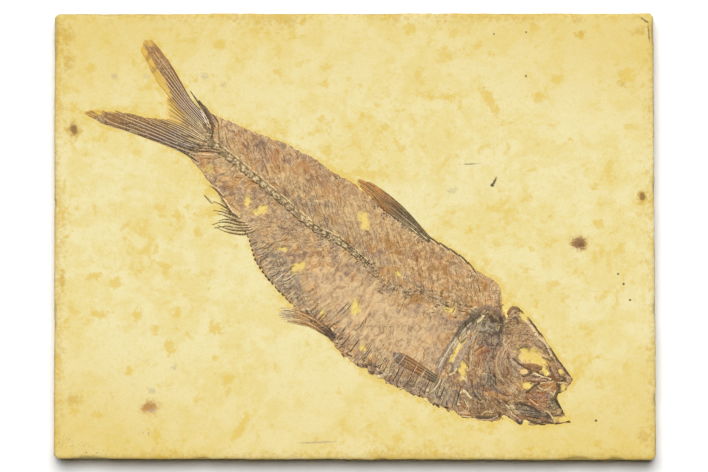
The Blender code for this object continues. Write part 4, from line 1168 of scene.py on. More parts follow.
# Rays of the tail from its upper leading edge, through the fork, to its lower leading edge
TAIL_LINES = curves(
    ((-34.6, 27.4), (-37.2, 30.6), (-40.4, 33.6), (-43.3, 38.5), (-46.3, 43.8), (-50.6, 49.2)),
    ((-35.0, 26.0), (-38.6, 30.4), (-41.8, 34.2), (-45.4, 39.4), (-49.2, 44.6), (-52.6, 49.2)),
    ((-35.3, 25.2), (-39.0, 29.0), (-42.6, 33.0), (-46.6, 37.8), (-50.2, 42.4), (-53.4, 46.4)),
    ((-35.5, 24.6), (-39.0, 27.8), (-42.4, 31.0), (-45.4, 34.2), (-48.0, 37.2), (-50.0, 39.8)),
    ((-35.8, 24.2), (-38.6, 26.6), (-41.4, 28.8), (-43.8, 30.6), (-45.4, 32.0), (-46.6, 33.2)),
    ((-36.2, 23.8), (-38.6, 25.4), (-41.0, 26.8), (-43.2, 28.0), (-45.2, 28.8), (-46.8, 29.2)),
    ((-36.8, 23.2), (-40.0, 24.8), (-43.4, 26.6), (-46.8, 28.0), (-49.6, 29.1), (-52.0, 29.8)),
    ((-37.6, 22.4), (-42.0, 24.2), (-46.4, 26.4), (-51.0, 28.5), (-55.0, 30.1), (-58.4, 31.3)),
    ((-38.4, 21.6), (-43.8, 23.4), (-49.4, 25.8), (-55.2, 28.2), (-60.4, 30.2), (-64.0, 31.8)),
    ((-40.0, 19.6), (-43.8, 21.2), (-49.6, 23.6), (-56.0, 25.9), (-62.4, 27.9), (-68.2, 31.0)),
)
# The folded back fin: its outer edge, its middle and its inner edge, from the front to its tip
BACK_FIN_LINES = curves(
    ((19.6, -0.9), (14.3, 5.3), (11.9, 7.7), (8.2, 10.7), (3.9, 13.5), (0.6, 14.6)),
    ((19.2, -1.2), (13.9, 3.8), (10.8, 6.4), (7.4, 9.2), (4.2, 11.9), (0.5, 14.2)),
    ((18.6, -1.6), (13.4, 2.0), (9.2, 5.0), (6.4, 7.2), (4.4, 9.6), (0.9, 12.9)),
)
# Rays of the fins under the belly, from root to tip
PELVIC_LINES = curves(
    ((-4.2, -24.8), (-7.2, -22.1), (-10.7, -19.8), (-14.2, -18.2), (-18.4, -17.7)),
    ((-4.8, -25.4), (-7.5, -23.4), (-11.0, -21.3), (-14.8, -19.9), (-19.4, -19.6)),
    ((-5.2, -26.0), (-7.6, -24.8), (-10.9, -23.0), (-13.6, -22.3), (-17.4, -21.6)),
)
BREAST_LINES = curves(
    ((20.9, -35.0), (16.4, -31.8), (12.6, -29.6), (9.3, -28.7)),
    ((20.9, -35.8), (16.4, -33.2), (12.6, -31.1), (9.1, -29.8)),
    ((20.6, -36.9), (16.4, -34.9), (12.6, -32.9), (9.8, -31.2)),
)


def between_lines(lines, across, out):
    """Places between a fin's rays: across from the first to the last, out from root to tip."""
    stations = np.stack([line.at(out) for line in lines], axis=0)
    last = len(lines) - 1
    spot = np.clip(np.asarray(across, float), 0, 1) * last
    low = np.minimum(spot.astype(int), last - 1)
    part = (spot - low)[..., None]
    here = np.take_along_axis(stations, low[None, ..., None], axis=0)[0]
    beside = np.take_along_axis(stations, low[None, ..., None] + 1, axis=0)[0]
    return here + (beside - here) * part


def tail_at(across, out):
    """Places on the tail: across from the upper leading ray to the lower one, out from root to tip."""
    return between_lines(TAIL_LINES, across, out)


TAIL_RAYS = 24
TAIL_LENGTH = 30
# How far out from the root the brown of the tail's rays is kept: place across, share of their length
TAIL_KEPT = (
    (0, 1),
    (0.17, 0.98),
    (0.2, 0.6),
    (0.3, 0.64),
    (0.36, 0.8),
    (0.44, 1),
    (0.56, 1),
    (0.7, 0.9),
    (0.9, 0.95),
    (1, 1),
)
LOST_YELLOW = seen(230, 190, 84)  # the stone where the tail's film is gone


def tail_reach(across):
    """How far out from the root the brown of the tail's rays is kept, for each place across."""
    return np.interp(across, *zip(*TAIL_KEPT))


def tail_film(surface, material):
    """The tail between its rays, worn back to yellow stone at its tips and in the fork."""
    across, out = grid_of(*TAIL_GRID)
    places = tail_at(across, out)
    x, y = places[..., 0], places[..., 1]
    cloud = mottle(x, y, 2.4, 4, 403)
    fork = 1 - np.abs(2 * across - 1)
    upper = ramp(across, 0.52, 0.46)
    strips = np.cos(2 * np.pi * across * TAIL_RAYS)
    streak = mottle(across * 50, out * 5, 1, 3, 400)
    paint = tint(PLUM * 1.1, ramp(out + 0.2 * cloud, 0.3, 0.65), BROWN * (1.08, 0.97, 0.85))
    paint = tint(paint, 0.85 * ramp(out + 0.25 * cloud, 0.6, 0.95), ORANGE)
    paint = paint * (1 - 0.2 * ramp(across, 0.6, 0.8))[..., None]
    paint = tint(paint, 0.5 * ramp(streak, 0.1, 0.7), ORANGE)
    paint = tint(paint, 0.5 * ramp(-streak, 0.1, 0.7), DARK * 1.2)
    kept = tail_reach(across)
    lost = ramp(out + 0.06 * cloud + 0.08 * streak, kept - 0.06, kept + 0.03)
    worn = np.maximum(lost, 0.8 * ramp(out + 0.08 * cloud, 0.88, 0.98))
    in_fork = ramp(fork + 0.1 * cloud, 0.62, 0.85)
    worn = np.maximum(worn, 0.75 * in_fork * ramp(out + 0.15 * cloud, 0.4, 0.7))
    paint = tint(paint, worn * (0.72 + 0.28 * ramp(streak, -0.3, 0.1)), LOST_YELLOW)
    paint = tint(paint, 0.8 * worn * ramp(fork, 0.62, 0.8), BARE_YELLOW * 0.95)
    smeared = ramp(across, 0.62, 0.55) * ramp(across, 0.44, 0.5) * ramp(out, 0.3, 0.5)
    paint = tint(paint, 0.7 * smeared * ramp(cloud + 0.6 * streak, -0.2, 0.4), PEACH * (1.05, 0.95, 0.75))
    for middle, half_sizes, turn in (((-48.8, 42.8), (2.4, 0.9), 40), ((-50.6, 45.8), (2.2, 0.6), 55)):
        remains = patch(x, y, middle, half_sizes, turn, ragged=0.7, soft=0.5, seed=407)
        paint = tint(paint, 0.6 * remains, BROWN * 1.4)
    root = ramp(out, 0.36, 0.12) * ramp(fork, 0.35, 0.6)
    paint = tint(paint, 0.7 * root, TAN * (1.15, 1.1, 0.9))
    height = 0.14 * (1 - 0.6 * out) + 0.05 * strips * (1 - worn) - 0.06 * worn
    gone = ramp(lost, 0.5, 0.9) * np.maximum(1 - upper, ramp(across, 0.33, 0.37)) * ramp(across, 0.93, 0.84)
    sides = ramp(1 - fork + 0.01 * cloud, 0.985, 1)
    tips = ramp(out + 0.02 * cloud, 0.985, 1)
    height = torn_off(height, np.maximum.reduce([sides, tips, gone]))
    flow = stacked(across * TAIL_RAYS, out * TAIL_LENGTH, worn)
    lay_film(surface, "tail_film", x, y, height, paint, flow, material)


def tail_rays(bones, random):
    """Long jointed rays, each with a thin pale line beside it that is a painted highlight."""
    for k in range(TAIL_RAYS):
        across = (k + 0.5) / TAIL_RAYS
        fork = 1 - abs(2 * across - 1)
        last = tail_reach(across) * random.uniform(0.9, 0.98)
        out = np.linspace(0.0, last, 50)
        places = tail_at(across + 0.004 * np.sin(out * 8 + k), out)
        color = tint(DARK * 1.4, ramp(out, 0.15, 0.45), BROWN)
        color = tint(color, ramp(out, 0.5, 0.9), ORANGE) * random.uniform(0.8, 1.15)
        color = color * (0.7 if across > 0.6 else 1)
        widths = (0.3 + 0.28 * np.sin(np.pi * out)) * random.uniform(0.75, 1.15) * (1 - 0.3 * (fork > 0.6))
        bones.ridge(places, widths, 0.1, color, joints=0.03, edge=0.85)
        first, end = (2, -3) if k % 3 else (6, -14)
        if 0.17 < across < 0.34:
            out = np.linspace(0.1, random.uniform(0.75, 0.93), 50)
        # The pale line beside each ray is a painted highlight
        pale = tail_at(np.full(len(out), across + 0.5 / TAIL_RAYS), out)[first:end]
        bones.ridge(pale, 0.2, 0.1, CREAM * random.uniform(0.85, 1.12), edge=0.9)


# Short rays and bones at the root of the tail: points along each, width, colour. The cream ones beside the
# darker bones are painted highlights
TAIL_ROOT_BONES = (
    (((-40.9, 36.2), (-38.8, 33.2), (-36.8, 30.4), (-35.6, 27.6), (-35.4, 25.2)), 0.6, DARK),
    (((-40.2, 34.2), (-38.2, 31.6), (-36.6, 29.0), (-35.7, 26.4)), 0.35, CREAM),
    (((-38.8, 33.9), (-37.0, 31.4), (-35.6, 28.6), (-35.2, 25.6)), 0.9, DARK * 1.1),
    (((-37.4, 32.6), (-36.0, 30.2), (-35.0, 27.6)), 0.7, SLATE),
    (((-38.4, 31.6), (-37.4, 29.4), (-36.4, 27.2)), 0.5, CREAM),
    (((-35.8, 30.6), (-34.4, 29.2), (-33.6, 27.4)), 0.35, DARK),
    (((-35.5, 26.0), (-35.7, 24.2), (-36.2, 23.2)), 0.7, DARK),
    (((-34.0, 28.0), (-33.8, 25.4), (-33.6, 23.0), (-32.4, 21.4)), 0.4, OLIVE),
    (((-32.8, 27.0), (-32.4, 24.6), (-31.6, 22.0)), 0.3, CREAM),
    (((-32.2, 26.0), (-31.6, 23.6), (-30.6, 21.4)), 0.3, OLIVE),
    (((-43.6, 21.2), (-41.4, 20.2), (-38.8, 18.4)), 0.6, DARK),
    (((-42.8, 22.0), (-39.4, 21.3), (-36.0, 21.1), (-33.0, 20.8)), 0.5, DARK),
    (((-42.0, 22.7), (-39.0, 22.1), (-36.0, 21.9), (-33.8, 21.6)), 0.35, OLIVE),
    (((-42.4, 23.6), (-39.4, 22.8), (-36.4, 22.6), (-34.6, 22.4)), 0.5, DARK),
    (((-40.6, 20.6), (-37.6, 20.4), (-34.4, 20.2)), 0.45, CREAM),
    (((-41.6, 24.6), (-39.0, 23.6), (-36.4, 22.9)), 0.35, CREAM),
    (((-43.0, 25.6), (-40.0, 24.2), (-37.0, 23.2)), 0.5, OLIVE),
    (((-42.0, 26.4), (-39.4, 25.0), (-37.0, 23.8)), 0.45, CREAM),
    (((-41.2, 27.4), (-38.8, 25.6), (-36.8, 24.2)), 0.5, TAN),
    (((-40.0, 28.4), (-38.2, 26.6), (-36.4, 24.6)), 0.45, OLIVE),
    (((-39.0, 28.6), (-37.6, 26.8), (-36.2, 25.0)), 0.4, CREAM),
    (((-44.6, 23.4), (-42.6, 22.6), (-41.2, 22.6)), 1.0, SLATE),
)


def tail_root(bones):
    """The short bones and rays at the root of the tail."""
    for points, width, color in TAIL_ROOT_BONES:
        out = np.linspace(0, 1, 16)
        widths = width * (0.35 + 0.6 * np.sin(np.pi * out))
        bones.ridge(Line(points).at(out), widths, 0.2, np.minimum(color * 1.5, CREAM), edge=0.85)


def strands(bones, lines, count, colors, width, height, random, stops=(0.1, 0.4, 0.65, 0.95)):
    """Fin rays between these lines, changing colour from root to middle to frayed tips at the stops."""
    for k in range(count):
        across = (k + 0.5) / count
        out = np.linspace(0, random.uniform(0.72, 1.0), 22)
        wave = across + 0.03 * np.sin(6 * out + 2 * k) + random.uniform(-0.3, 0.3) / count * out
        places = between_lines(lines, np.clip(wave, 0, 1), out)
        near, middle, far = colors[k % len(colors)]
        color = tint(near, ramp(out, *stops[:2]), middle)
        color = tint(color, ramp(out, *stops[2:]), far) * random.uniform(0.85, 1.15)
        widths = width * (0.5 + 0.5 * np.sin(np.pi * np.clip(out, 0.1, 0.9))) * random.uniform(0.7, 1.2)
        bones.ridge(places, widths, height * random.uniform(0.7, 1.3), color, edge=0.85)


def fin_film(surface, material, name, lines, steps, colors, stops):
    """The sheet between a fin's rays, draped over what it lies on: its colours at root, middle and tip."""
    across, out = grid_of(FIN_ROWS, steps)
    places = between_lines(lines, across, out)
    x, y = places[..., 0], places[..., 1]
    streak = mottle(8 * across, 3 * out, 1, 3, 440)
    cloud = mottle(x, y, 2.0, 3, 443)
    near, middle, far = colors
    frayed = out + 0.15 * cloud
    paint = tint(tint(near, ramp(frayed, *stops[:2]), middle), ramp(frayed, *stops[2:]), far)
    paint = tint(paint, 0.4 * ramp(streak, 0.15, 0.6), CREAM)
    paint = tint(paint, 0.5 * ramp(-streak, 0.1, 0.6), DARK)
    outer = np.maximum(np.abs(2 * across - 1), out)
    torn = ramp(outer + 0.06 * cloud + 0.16 * streak * ramp(out, 0.6, 0.9), 0.92, 1.0)
    ground = surface.heights(x, y) - TOP
    height = ground + torn_off(0.14 + 0.06 * streak, torn)
    lay_film(surface, name, x, y, height, paint, stacked(6 * across, 20 * out, 0.3), material)


HAIR = np.linspace(-0.5, 0.5, 5)  # the points of a short bone, as shares of its length


def bent_line(place, angle, out, bend=0.0):
    """Points about a place: out along the angle, and bend to the left of it."""
    x = out * math.cos(angle) - bend * math.sin(angle)
    y = out * math.sin(angle) + bend * math.cos(angle)
    return place + np.column_stack([x, y])


def back_fin(bones, random):
    """The folded back fin's long rays, and the bright and dark scraps at their roots."""
    colors = (
        (OLIVE * 0.9, BROWN, ORANGE * 1.1),
        (DARK * 1.3, RUST * (0.9, 1.1, 1.1), ORANGE),
        (OLIVE * 1.1, ORANGE, ORANGE * 1.3),
        (DARK * 1.2, BROWN * 0.8, BROWN),
        (ASH * 0.85, BROWN * 1.4, ORANGE * 1.2),
    )
    strands(bones, BACK_FIN_LINES, 17, colors, 0.3, 0.09, random, (0.4, 0.62, 0.62, 0.8))
    for _ in range(90):
        spot = BACK_FIN_LINES[-1].at(random.uniform(0.05, 0.72)) + random.normal(0, 0.5, 2) - (0.4, 0.4)
        angle = random.uniform(0, math.pi)
        line = bent_line(spot, angle, HAIR * random.uniform(0.4, 1.1))
        tone = (CREAM * 1.1, CREAM, OLIVE * 0.8, SLATE, ASH)[random.integers(5)]
        bones.ridge(line, random.uniform(0.16, 0.26), 0.14, tone, lift=0.02, edge=0.9)


# Rays of the anal fin, from root to tip
ANAL_RAYS = (
    ((-24.8, 1.2), (-27.5, 0.4), (-30.0, 0.6), (-32.4, 1.2), (-34.6, 2.2)),
    ((-25.4, 1.6), (-28.0, 1.3), (-31.0, 1.6), (-34.0, 2.6)),
    ((-26.0, 2.0), (-29.0, 2.0), (-32.0, 2.4), (-35.0, 2.0)),
    ((-26.6, 2.6), (-29.0, 2.8), (-31.6, 3.4), (-33.6, 3.4), (-35.4, 2.8)),
    ((-27.2, 3.2), (-29.4, 3.5), (-32.0, 4.2), (-33.8, 3.8)),
    ((-27.8, 3.4), (-30.0, 4.1), (-32.6, 5.2), (-34.2, 5.6)),
    ((-28.4, 4.2), (-30.4, 5.0), (-32.8, 6.0), (-35.2, 6.4)),
    ((-29.0, 4.8), (-31.0, 5.8), (-33.4, 7.0)),
    ((-29.8, 5.2), (-31.4, 6.6), (-33.6, 8.0), (-35.0, 8.6)),
    ((-30.4, 5.8), (-31.8, 7.4), (-33.4, 8.8)),
    ((-31.0, 6.8), (-32.2, 8.2), (-33.6, 9.4)),
    ((-31.8, 8.0), (-33.0, 9.4), (-34.0, 10.6)),
    ((-32.6, 9.6), (-33.8, 10.8), (-34.8, 11.6)),
    ((-37.4, 10.2), (-36.4, 9.0), (-35.6, 8.2), (-34.8, 8.6)),
    ((-33.6, 11.0), (-34.8, 11.8), (-36.2, 12.6)),
)


def anal_fin(bones, random):
    """The rays that spread on the stone behind the belly, each with a pale line on its upper side that is a
    painted highlight.
    """
    for k, points in enumerate(ANAL_RAYS):
        out = np.linspace(0, 1, 20)
        places = Line(points).at(out)
        taper = (0.45 + 0.55 * np.sin(np.pi * np.clip(out + 0.15, 0, 1))) * (1 if k < 9 else 0.55)
        color = tint(BROWN * 0.72, ramp(out, 0.2, 0.9), OLIVE * 1.15) * random.uniform(0.85, 1.2)
        bones.ridge(places, 0.5 * taper, 0.24, color, edge=0.85)
        # A painted highlight: a pale line on each ray's upper side
        bones.ridge(places[:15] + (0.1, 0.42), 0.32, 0.18, CREAM * random.uniform(1.0, 1.2), edge=0.9)


# The bones


def backbone_chain(surface, material):
    """The chain of vertebrae, each waisted between two rims, breaking up towards the head, with painted
    highlights on their upper side and along the chain's upper edge.
    """
    share, aside = grid_of(*CHAIN_GRID, (0, 0.7), (-1.9, 1.9))
    spine = SPINE.at(share)
    along = np.gradient(SPINE.at(share[:, 0]), axis=0)
    along /= np.linalg.norm(along, axis=1)[:, None]
    to_belly = stacked(along[:, 1], -along[:, 0])[:, None, :]
    wobble = 0.12 * smooth_noise(share * 60, 0 * share, 520)
    places = spine + to_belly * (aside * (0.95 - 0.25 * share) + wobble)[..., None]
    x, y = places[..., 0], places[..., 1]
    run = share * VERTEBRAE + 0.12 * mottle(x, y, 2.5, 2, 521)
    joint = np.abs(2 * (run % 1) - 1)
    high = np.abs(aside) + 0.14 * mottle(x, y, 0.9, 2, 522)
    reach = 0.95 - 0.34 * joint**3
    inside = 1 - ramp(high / reach, 0.85, 1.05)
    kept = 0.3 + 0.7 * ramp(mottle(x, y, 1.1, 2, 527), -0.3, 0.2)
    rim = np.exp(-(((high - reach) / 0.2) ** 2)) * kept
    ends = np.exp(-(((1 - joint) / 0.16) ** 2)) * inside * kept
    # gleam is a painted highlight on each vertebra's upper side, and the cream line along the chain's upper
    # edge is a painted highlight too
    gleam = np.exp(-(((aside + 0.62 * reach) / 0.22) ** 2)) * ramp(joint, 0.75, 0.3)
    painted_upper_highlight = np.exp(-(((aside + 1.32) / 0.2) ** 2)) * ramp(mottle(x, y, 1.3, 3, 523), -0.35, -0.05)
    speckle = mottle(x, y, 0.7, 3, 524)
    paint = tint(TAN * (0.86, 0.85, 0.84), 0.8 * ramp(speckle, -0.2, 0.25), OLIVE * 1.05)
    paint = tint(paint, 0.7 * ramp(-speckle, 0.1, 0.4), CREAM)
    paint = tint(paint, 0.8 * gleam * kept, CREAM * 1.05)
    paint = tint(paint, 0.8 * np.maximum(rim, ends), OLIVE * 0.6)
    paint = tint(paint, np.clip(painted_upper_highlight * 1.3, 0, 1), CREAM * 1.15)
    broken = ramp(share + 0.1 * mottle(x, y, 1.8, 3, 526), 0.56, 0.66)
    shown = np.maximum.reduce([inside, ramp(rim, 0.3, 0.7), ramp(painted_upper_highlight, 0.3, 0.6)]) * (1 - broken)
    rise = 0.14 + 0.3 * inside * (1 - 0.5 * joint**2) + 0.06 * rim + 0.05 * speckle
    ground = surface.heights(x, y) - TOP
    height = ground + rise * shown - 0.35 * (1 - ramp(shown, 0.2, 0.6))
    lay_film(surface, "vertebrae", x, y, height, paint, stacked(x, y, 0.85), material)


def crushed_backbone(bones, random):
    """Scraps of vertebrae from where the chain breaks up to the skull."""
    for _ in range(230):
        share = random.uniform(0.44, 0.99)
        middle = body_at(share, random.normal(0, 0.05))
        along = SPINE.at(share + 0.01) - SPINE.at(share - 0.01)
        angle = math.atan2(along[1], along[0]) + random.choice((0, 0, 0.3, -0.4, 1.4))
        line = bent_line(middle, angle, HAIR * random.uniform(0.4, 1.5))
        tone = (DARK * 1.1, OLIVE, OLIVE, SLATE, CREAM, ASH)[random.integers(6)]
        bones.ridge(line, random.uniform(0.16, 0.3), 0.16, tone * random.uniform(0.85, 1.1), edge=0.9)


def spines_and_ribs(bones, random):
    """Long thin spines above and below the backbone, and broader ribs round the belly."""
    for k in range(VERTEBRAE):
        share = (k + 0.5) / VERTEBRAE
        out = np.linspace(0, 1, 16)
        for side in (-1, 1):
            if side > 0 and share > 0.46:
                continue
            first = random.uniform(0.06, 0.12)
            last = random.uniform(0.35, 0.85)
            across = side * (first + (last - first) * out)
            shares = share + random.normal(0, 0.006) * out
            change = random.choice((0.72, 0.8, 1.18, 1.25))
            bones.ridge(body_at(shares, across), 0.22 - 0.08 * out, 0.1, change=change, edge=0.85)
    for k in range(64):
        share = random.uniform(0.34, 0.93)
        first = random.uniform(0.62, 0.84) if share < 0.62 else random.uniform(0.45, 0.8)
        last = min(first + random.uniform(0.08, 0.26), 0.93)
        out = np.linspace(0, 1, 12)
        shares = share - 0.012 * out**2 + random.normal(0, 0.004) * out
        across = first + (last - first) * out
        widths = random.uniform(0.22, 0.4) * np.sin(np.pi * (0.12 + 0.76 * out))
        tone = (ASH * 1.15, CREAM, ASH, SLATE * 1.3, PINK * 1.05)[k % 5]
        bones.ridge(body_at(shares, across), widths, 0.14, tone, edge=0.85)
        bones.ridge(body_at(shares + 0.004, across), 0.13, 0.06, change=0.75, edge=0.95)


def lie_of_bones(share, across, place, random):
    """Which way a fine bone points at a place: along the spines, but level towards the tail."""
    ahead = body_at(share, across + (0.03 if across < 0.97 else -0.03)) - place
    angle = math.atan2(ahead[1], ahead[0])
    if 0 < across < 0.75 and share < 0.42:
        angle = math.pi
    return angle + random.normal(0, 0.45)


def fine_bones(bones, random, count):
    """The fine bones that lie in the flesh, as pale and dark lines of what is under them."""
    for _ in range(count):
        share = random.uniform(0.0, 1.0)
        across = random.uniform(-0.93, 0.93)
        place = body_at(share, across)
        if mottle(place[0], place[1], 5.0, 2, 570) < random.uniform(-0.5, 0.6) or on_bare(place):
            continue
        angle = lie_of_bones(share, across, place, random)
        out = HAIR * random.uniform(0.6, 2.8)
        line = bent_line(place, angle, out, random.normal(0, 0.16) * out**2)
        width = random.uniform(0.16, 0.28) * np.array((0.4, 0.9, 1, 0.9, 0.4))
        change = random.choice((0.55, 0.65, 0.75, 1.25, 1.35, 1.5))
        bones.ridge(line, width, random.uniform(0.04, 0.08), change=change, edge=0.95)


def scutes(bones, random):
    """Keeled scales along the belly's edge, and a row of long ones before the back fin, many with a cream
    line beside them that is a painted highlight.
    """
    for k in range(18):
        share = 0.285 + 0.225 * k / 17
        shares = np.linspace(share - 0.0045, share + 0.0045, 7)
        dark = DARK * random.uniform(0.7, 1.2)
        width = random.uniform(0.3, 0.6) * np.sin(np.linspace(0.5, 2.7, 7))
        bones.ridge(body_at(shares, np.full(7, 0.985)), width, 0.26, dark, edge=0.9)
        # A cream line on the inner side of some belly scales: a painted highlight
        if random.random() < 0.6:
            tone = CREAM * random.uniform(0.75, 1.0)
            bones.ridge(body_at(shares, np.full(7, 0.94)), 0.16, 0.24, tone, edge=0.9)
        arm = body_at(share + np.linspace(0, 0.006, 6), np.linspace(0.95, random.uniform(0.76, 0.86), 6))
        tone = (CREAM * 1.2, ASH * 1.1, CREAM, SLATE)[k % 4] * random.uniform(0.85, 1.15)
        bones.ridge(arm, random.uniform(0.2, 0.34), 0.2, tone, edge=0.9)
    for k in range(90):
        share = random.uniform(0.55, 0.985)
        across = random.uniform(0.88, 0.985)
        middle = body_at(share, across)
        along = BELLY.at(share + 0.005) - BELLY.at(share - 0.005)
        turn = math.degrees(math.atan2(along[1], along[0])) + random.normal(0, 30)
        size = random.uniform(0.25, 0.8)
        tone = (DARK, SLATE, PLUM, ASH, BROWN, CREAM)[k % 6] * random.uniform(0.8, 1.2)
        half_sizes = (size, size * random.uniform(0.3, 0.6))
        bones.flake(middle, half_sizes, turn, 0.2, 0.4, 640 + k, tone, edge=0.7)
    for k in range(44):
        share = 0.56 + 0.42 * (k + random.uniform(0, 0.6)) / 44
        first = random.uniform(0.9, 0.96)
        last = first - random.uniform(0.06, 0.2)
        spur = body_at(share + np.linspace(0, 0.005, 6), np.linspace(first, last, 6))
        tone = (BROWN, ASH, SLATE, DARK)[k % 4] * random.uniform(0.8, 1.1)
        bones.ridge(spur, random.uniform(0.16, 0.34), 0.2, tone, edge=0.9)
    for k in range(7):
        share = 0.84 + 0.024 * k
        line = body_at(np.linspace(share - 0.016, share + 0.012, 9), np.linspace(-0.985, -0.94, 9))
        width = 0.5 * np.sin(np.linspace(0.5, 2.7, 9))
        bones.ridge(line, width, 0.3, OLIVE * random.uniform(0.7, 0.95), edge=0.85)
        # A cream line beside each long scale: a painted highlight
        bones.ridge(line[1:7] - (0.25, 0.35), 0.32, 0.28, CREAM * 1.15, edge=0.9)


def head_bones(bones, random):
    """Splinters and scraps of the crushed skull, pale and dark against what is under them."""
    for k in range(220):
        forward = random.uniform(0.01, 0.96)
        across = random.uniform(0.03, 0.97)
        middle = head_at(forward, across)
        if on_bare(middle):
            continue
        size = random.uniform(0.14, 0.38)
        change = random.choice((0.45, 0.6, 0.75, 1.25, 1.45, 1.7))
        half_sizes = (size, size * random.uniform(0.35, 0.8))
        turn = random.uniform(-90, 90)
        height = random.uniform(0.04, 0.12)
        bones.flake(middle, half_sizes, turn, height, 0.35, 700 + k, change=change)
    for _ in range(450):
        middle = head_at(random.uniform(0.01, 0.96), random.uniform(0.03, 0.97))
        if on_bare(middle):
            continue
        if middle[1] > UPRIGHT:
            angle = math.pi / 2
        else:
            angle = math.atan2(middle[1] - EYE[1], middle[0] - EYE[0]) + math.pi / 2
        angle += random.normal(0, 0.4)
        out = HAIR * random.uniform(0.6, 2.6)
        line = bent_line(middle, angle, out, random.normal(0, 0.1) * out**2)
        change = random.choice((0.5, 0.62, 0.78, 1.25, 1.4, 1.6))
        width = random.uniform(0.15, 0.3)
        bones.ridge(line, width, random.uniform(0.05, 0.12), change=change, edge=0.95)


# Materials


class Nodes:
    """Short ways to add and join a material's nodes."""

    def __init__(self, material):
        self.tree = material.node_tree

    def add(self, kind, settings=None, **inputs):
        """A node with these settings, and these sockets linked or set: _ stands for a space."""
        node = self.tree.nodes.new(kind)
        for key, value in (settings or {}).items():
            setattr(node, key, value)
        for key, value in inputs.items():
            self.set(node.inputs[key.replace("_", " ")], value)
        return node

    def set(self, socket, value):
        """Link a socket to another one, or give it a value."""
        if isinstance(value, bpy.types.NodeSocket):
            self.tree.links.new(value, socket)
        else:
            socket.default_value = value

    def arithmetic(self, kind, settings, values):
        """The outputs of a node whose sockets take these values in turn."""
        node = self.add(kind, settings)
        for socket, value in zip(node.inputs, values):
            self.set(socket, value)
        return node.outputs

    def math(self, operation, *values, clamp=False):
        settings = {"operation": operation, "use_clamp": clamp}
        return self.arithmetic("ShaderNodeMath", settings, values)["Value"]

    def vector_math(self, operation, *values):
        return self.arithmetic("ShaderNodeVectorMath", {"operation": operation}, values)

    def sum(self, first, second):
        return self.math("ADD", first, second)

    def product(self, first, second):
        return self.math("MULTIPLY", first, second)

    def mix(self, factor, first, second, blend="MIX"):
        node = self.add("ShaderNodeMix", {"data_type": "RGBA", "blend_type": blend})
        self.set(node.inputs[0], factor)
        self.set(node.inputs[6], first)
        self.set(node.inputs[7], second)
        return node.outputs[2]

    def attribute(self, name, output):
        return self.add("ShaderNodeAttribute", {"attribute_name": name}).outputs[output]

    def channels(self, color):
        return self.add("ShaderNodeSeparateColor", Color=color).outputs

    def axes(self, vector):
        return self.add("ShaderNodeSeparateXYZ", Vector=vector).outputs

    def millimetres(self):
        place = self.add("ShaderNodeTexCoord").outputs["Object"]
        return self.add("ShaderNodeMapping", Vector=place, Scale=(1 / MM, 1 / MM, 1 / MM)).outputs["Vector"]

    def noise(self, coordinates, scale, detail=3.0, roughness=0.55, distortion=0.0):
        node = self.add("ShaderNodeTexNoise", Vector=coordinates, Scale=scale, Detail=detail)
        self.set(node.inputs["Roughness"], roughness)
        self.set(node.inputs["Distortion"], distortion)
        return node.outputs["Fac"]

    def between(self, value, low, high, start=0.0, end=1.0):
        """From start to end as the value goes from low to high."""
        settings = {"interpolation_type": "SMOOTHSTEP"}
        node = self.add("ShaderNodeMapRange", settings, Value=value, From_Min=low, From_Max=high)
        self.set(node.inputs["To Min"], start)
        self.set(node.inputs["To Max"], end)
        return node.outputs["Result"]

    def band(self, value, middle, half_width, strength):
        """A line where the value is near the middle, fading out by its half width."""
        away = self.math("ABSOLUTE", self.math("SUBTRACT", value, middle))
        return self.between(away, 0.3 * half_width, half_width, strength, 0)

    def oval(self, place, middle, half_sizes, turn):
        """How far inside an oval each place is, at any height: 1 at its middle and 0 on its outline."""
        spot = self.add("ShaderNodeMapping", {"vector_type": "TEXTURE"}, Vector=place)
        self.set(spot.inputs["Location"], (*middle, 0))
        self.set(spot.inputs["Rotation"], (0, 0, math.radians(turn)))
        self.set(spot.inputs["Scale"], (*half_sizes, 1e6))
        return self.math("SUBTRACT", 1.0, self.vector_math("LENGTH", spot.outputs["Vector"])["Value"])

    def bumps(self, height, strength, distance):
        node = self.add("ShaderNodeBump", Height=height, Strength=strength, Distance=distance)
        return node.outputs["Normal"]


def new_material(name, roughness):
    """A dull material, its shader, and the means to add nodes to it."""
    material = bpy.data.materials.new(name)
    material.use_nodes = True
    shader = material.node_tree.nodes["Principled BSDF"]
    shader.inputs["Roughness"].default_value = roughness
    shader.inputs["Specular IOR Level"].default_value = 0.25
    return material, shader, Nodes(material)


def rgba(color):
    """A colour as a shader's socket takes it."""
    return (*np.clip(color, 0, 1), 1)


BONE_SHADOW = np.array((0.32, 0.21, 0.1))  # what the dark lines on bone are multiplied by


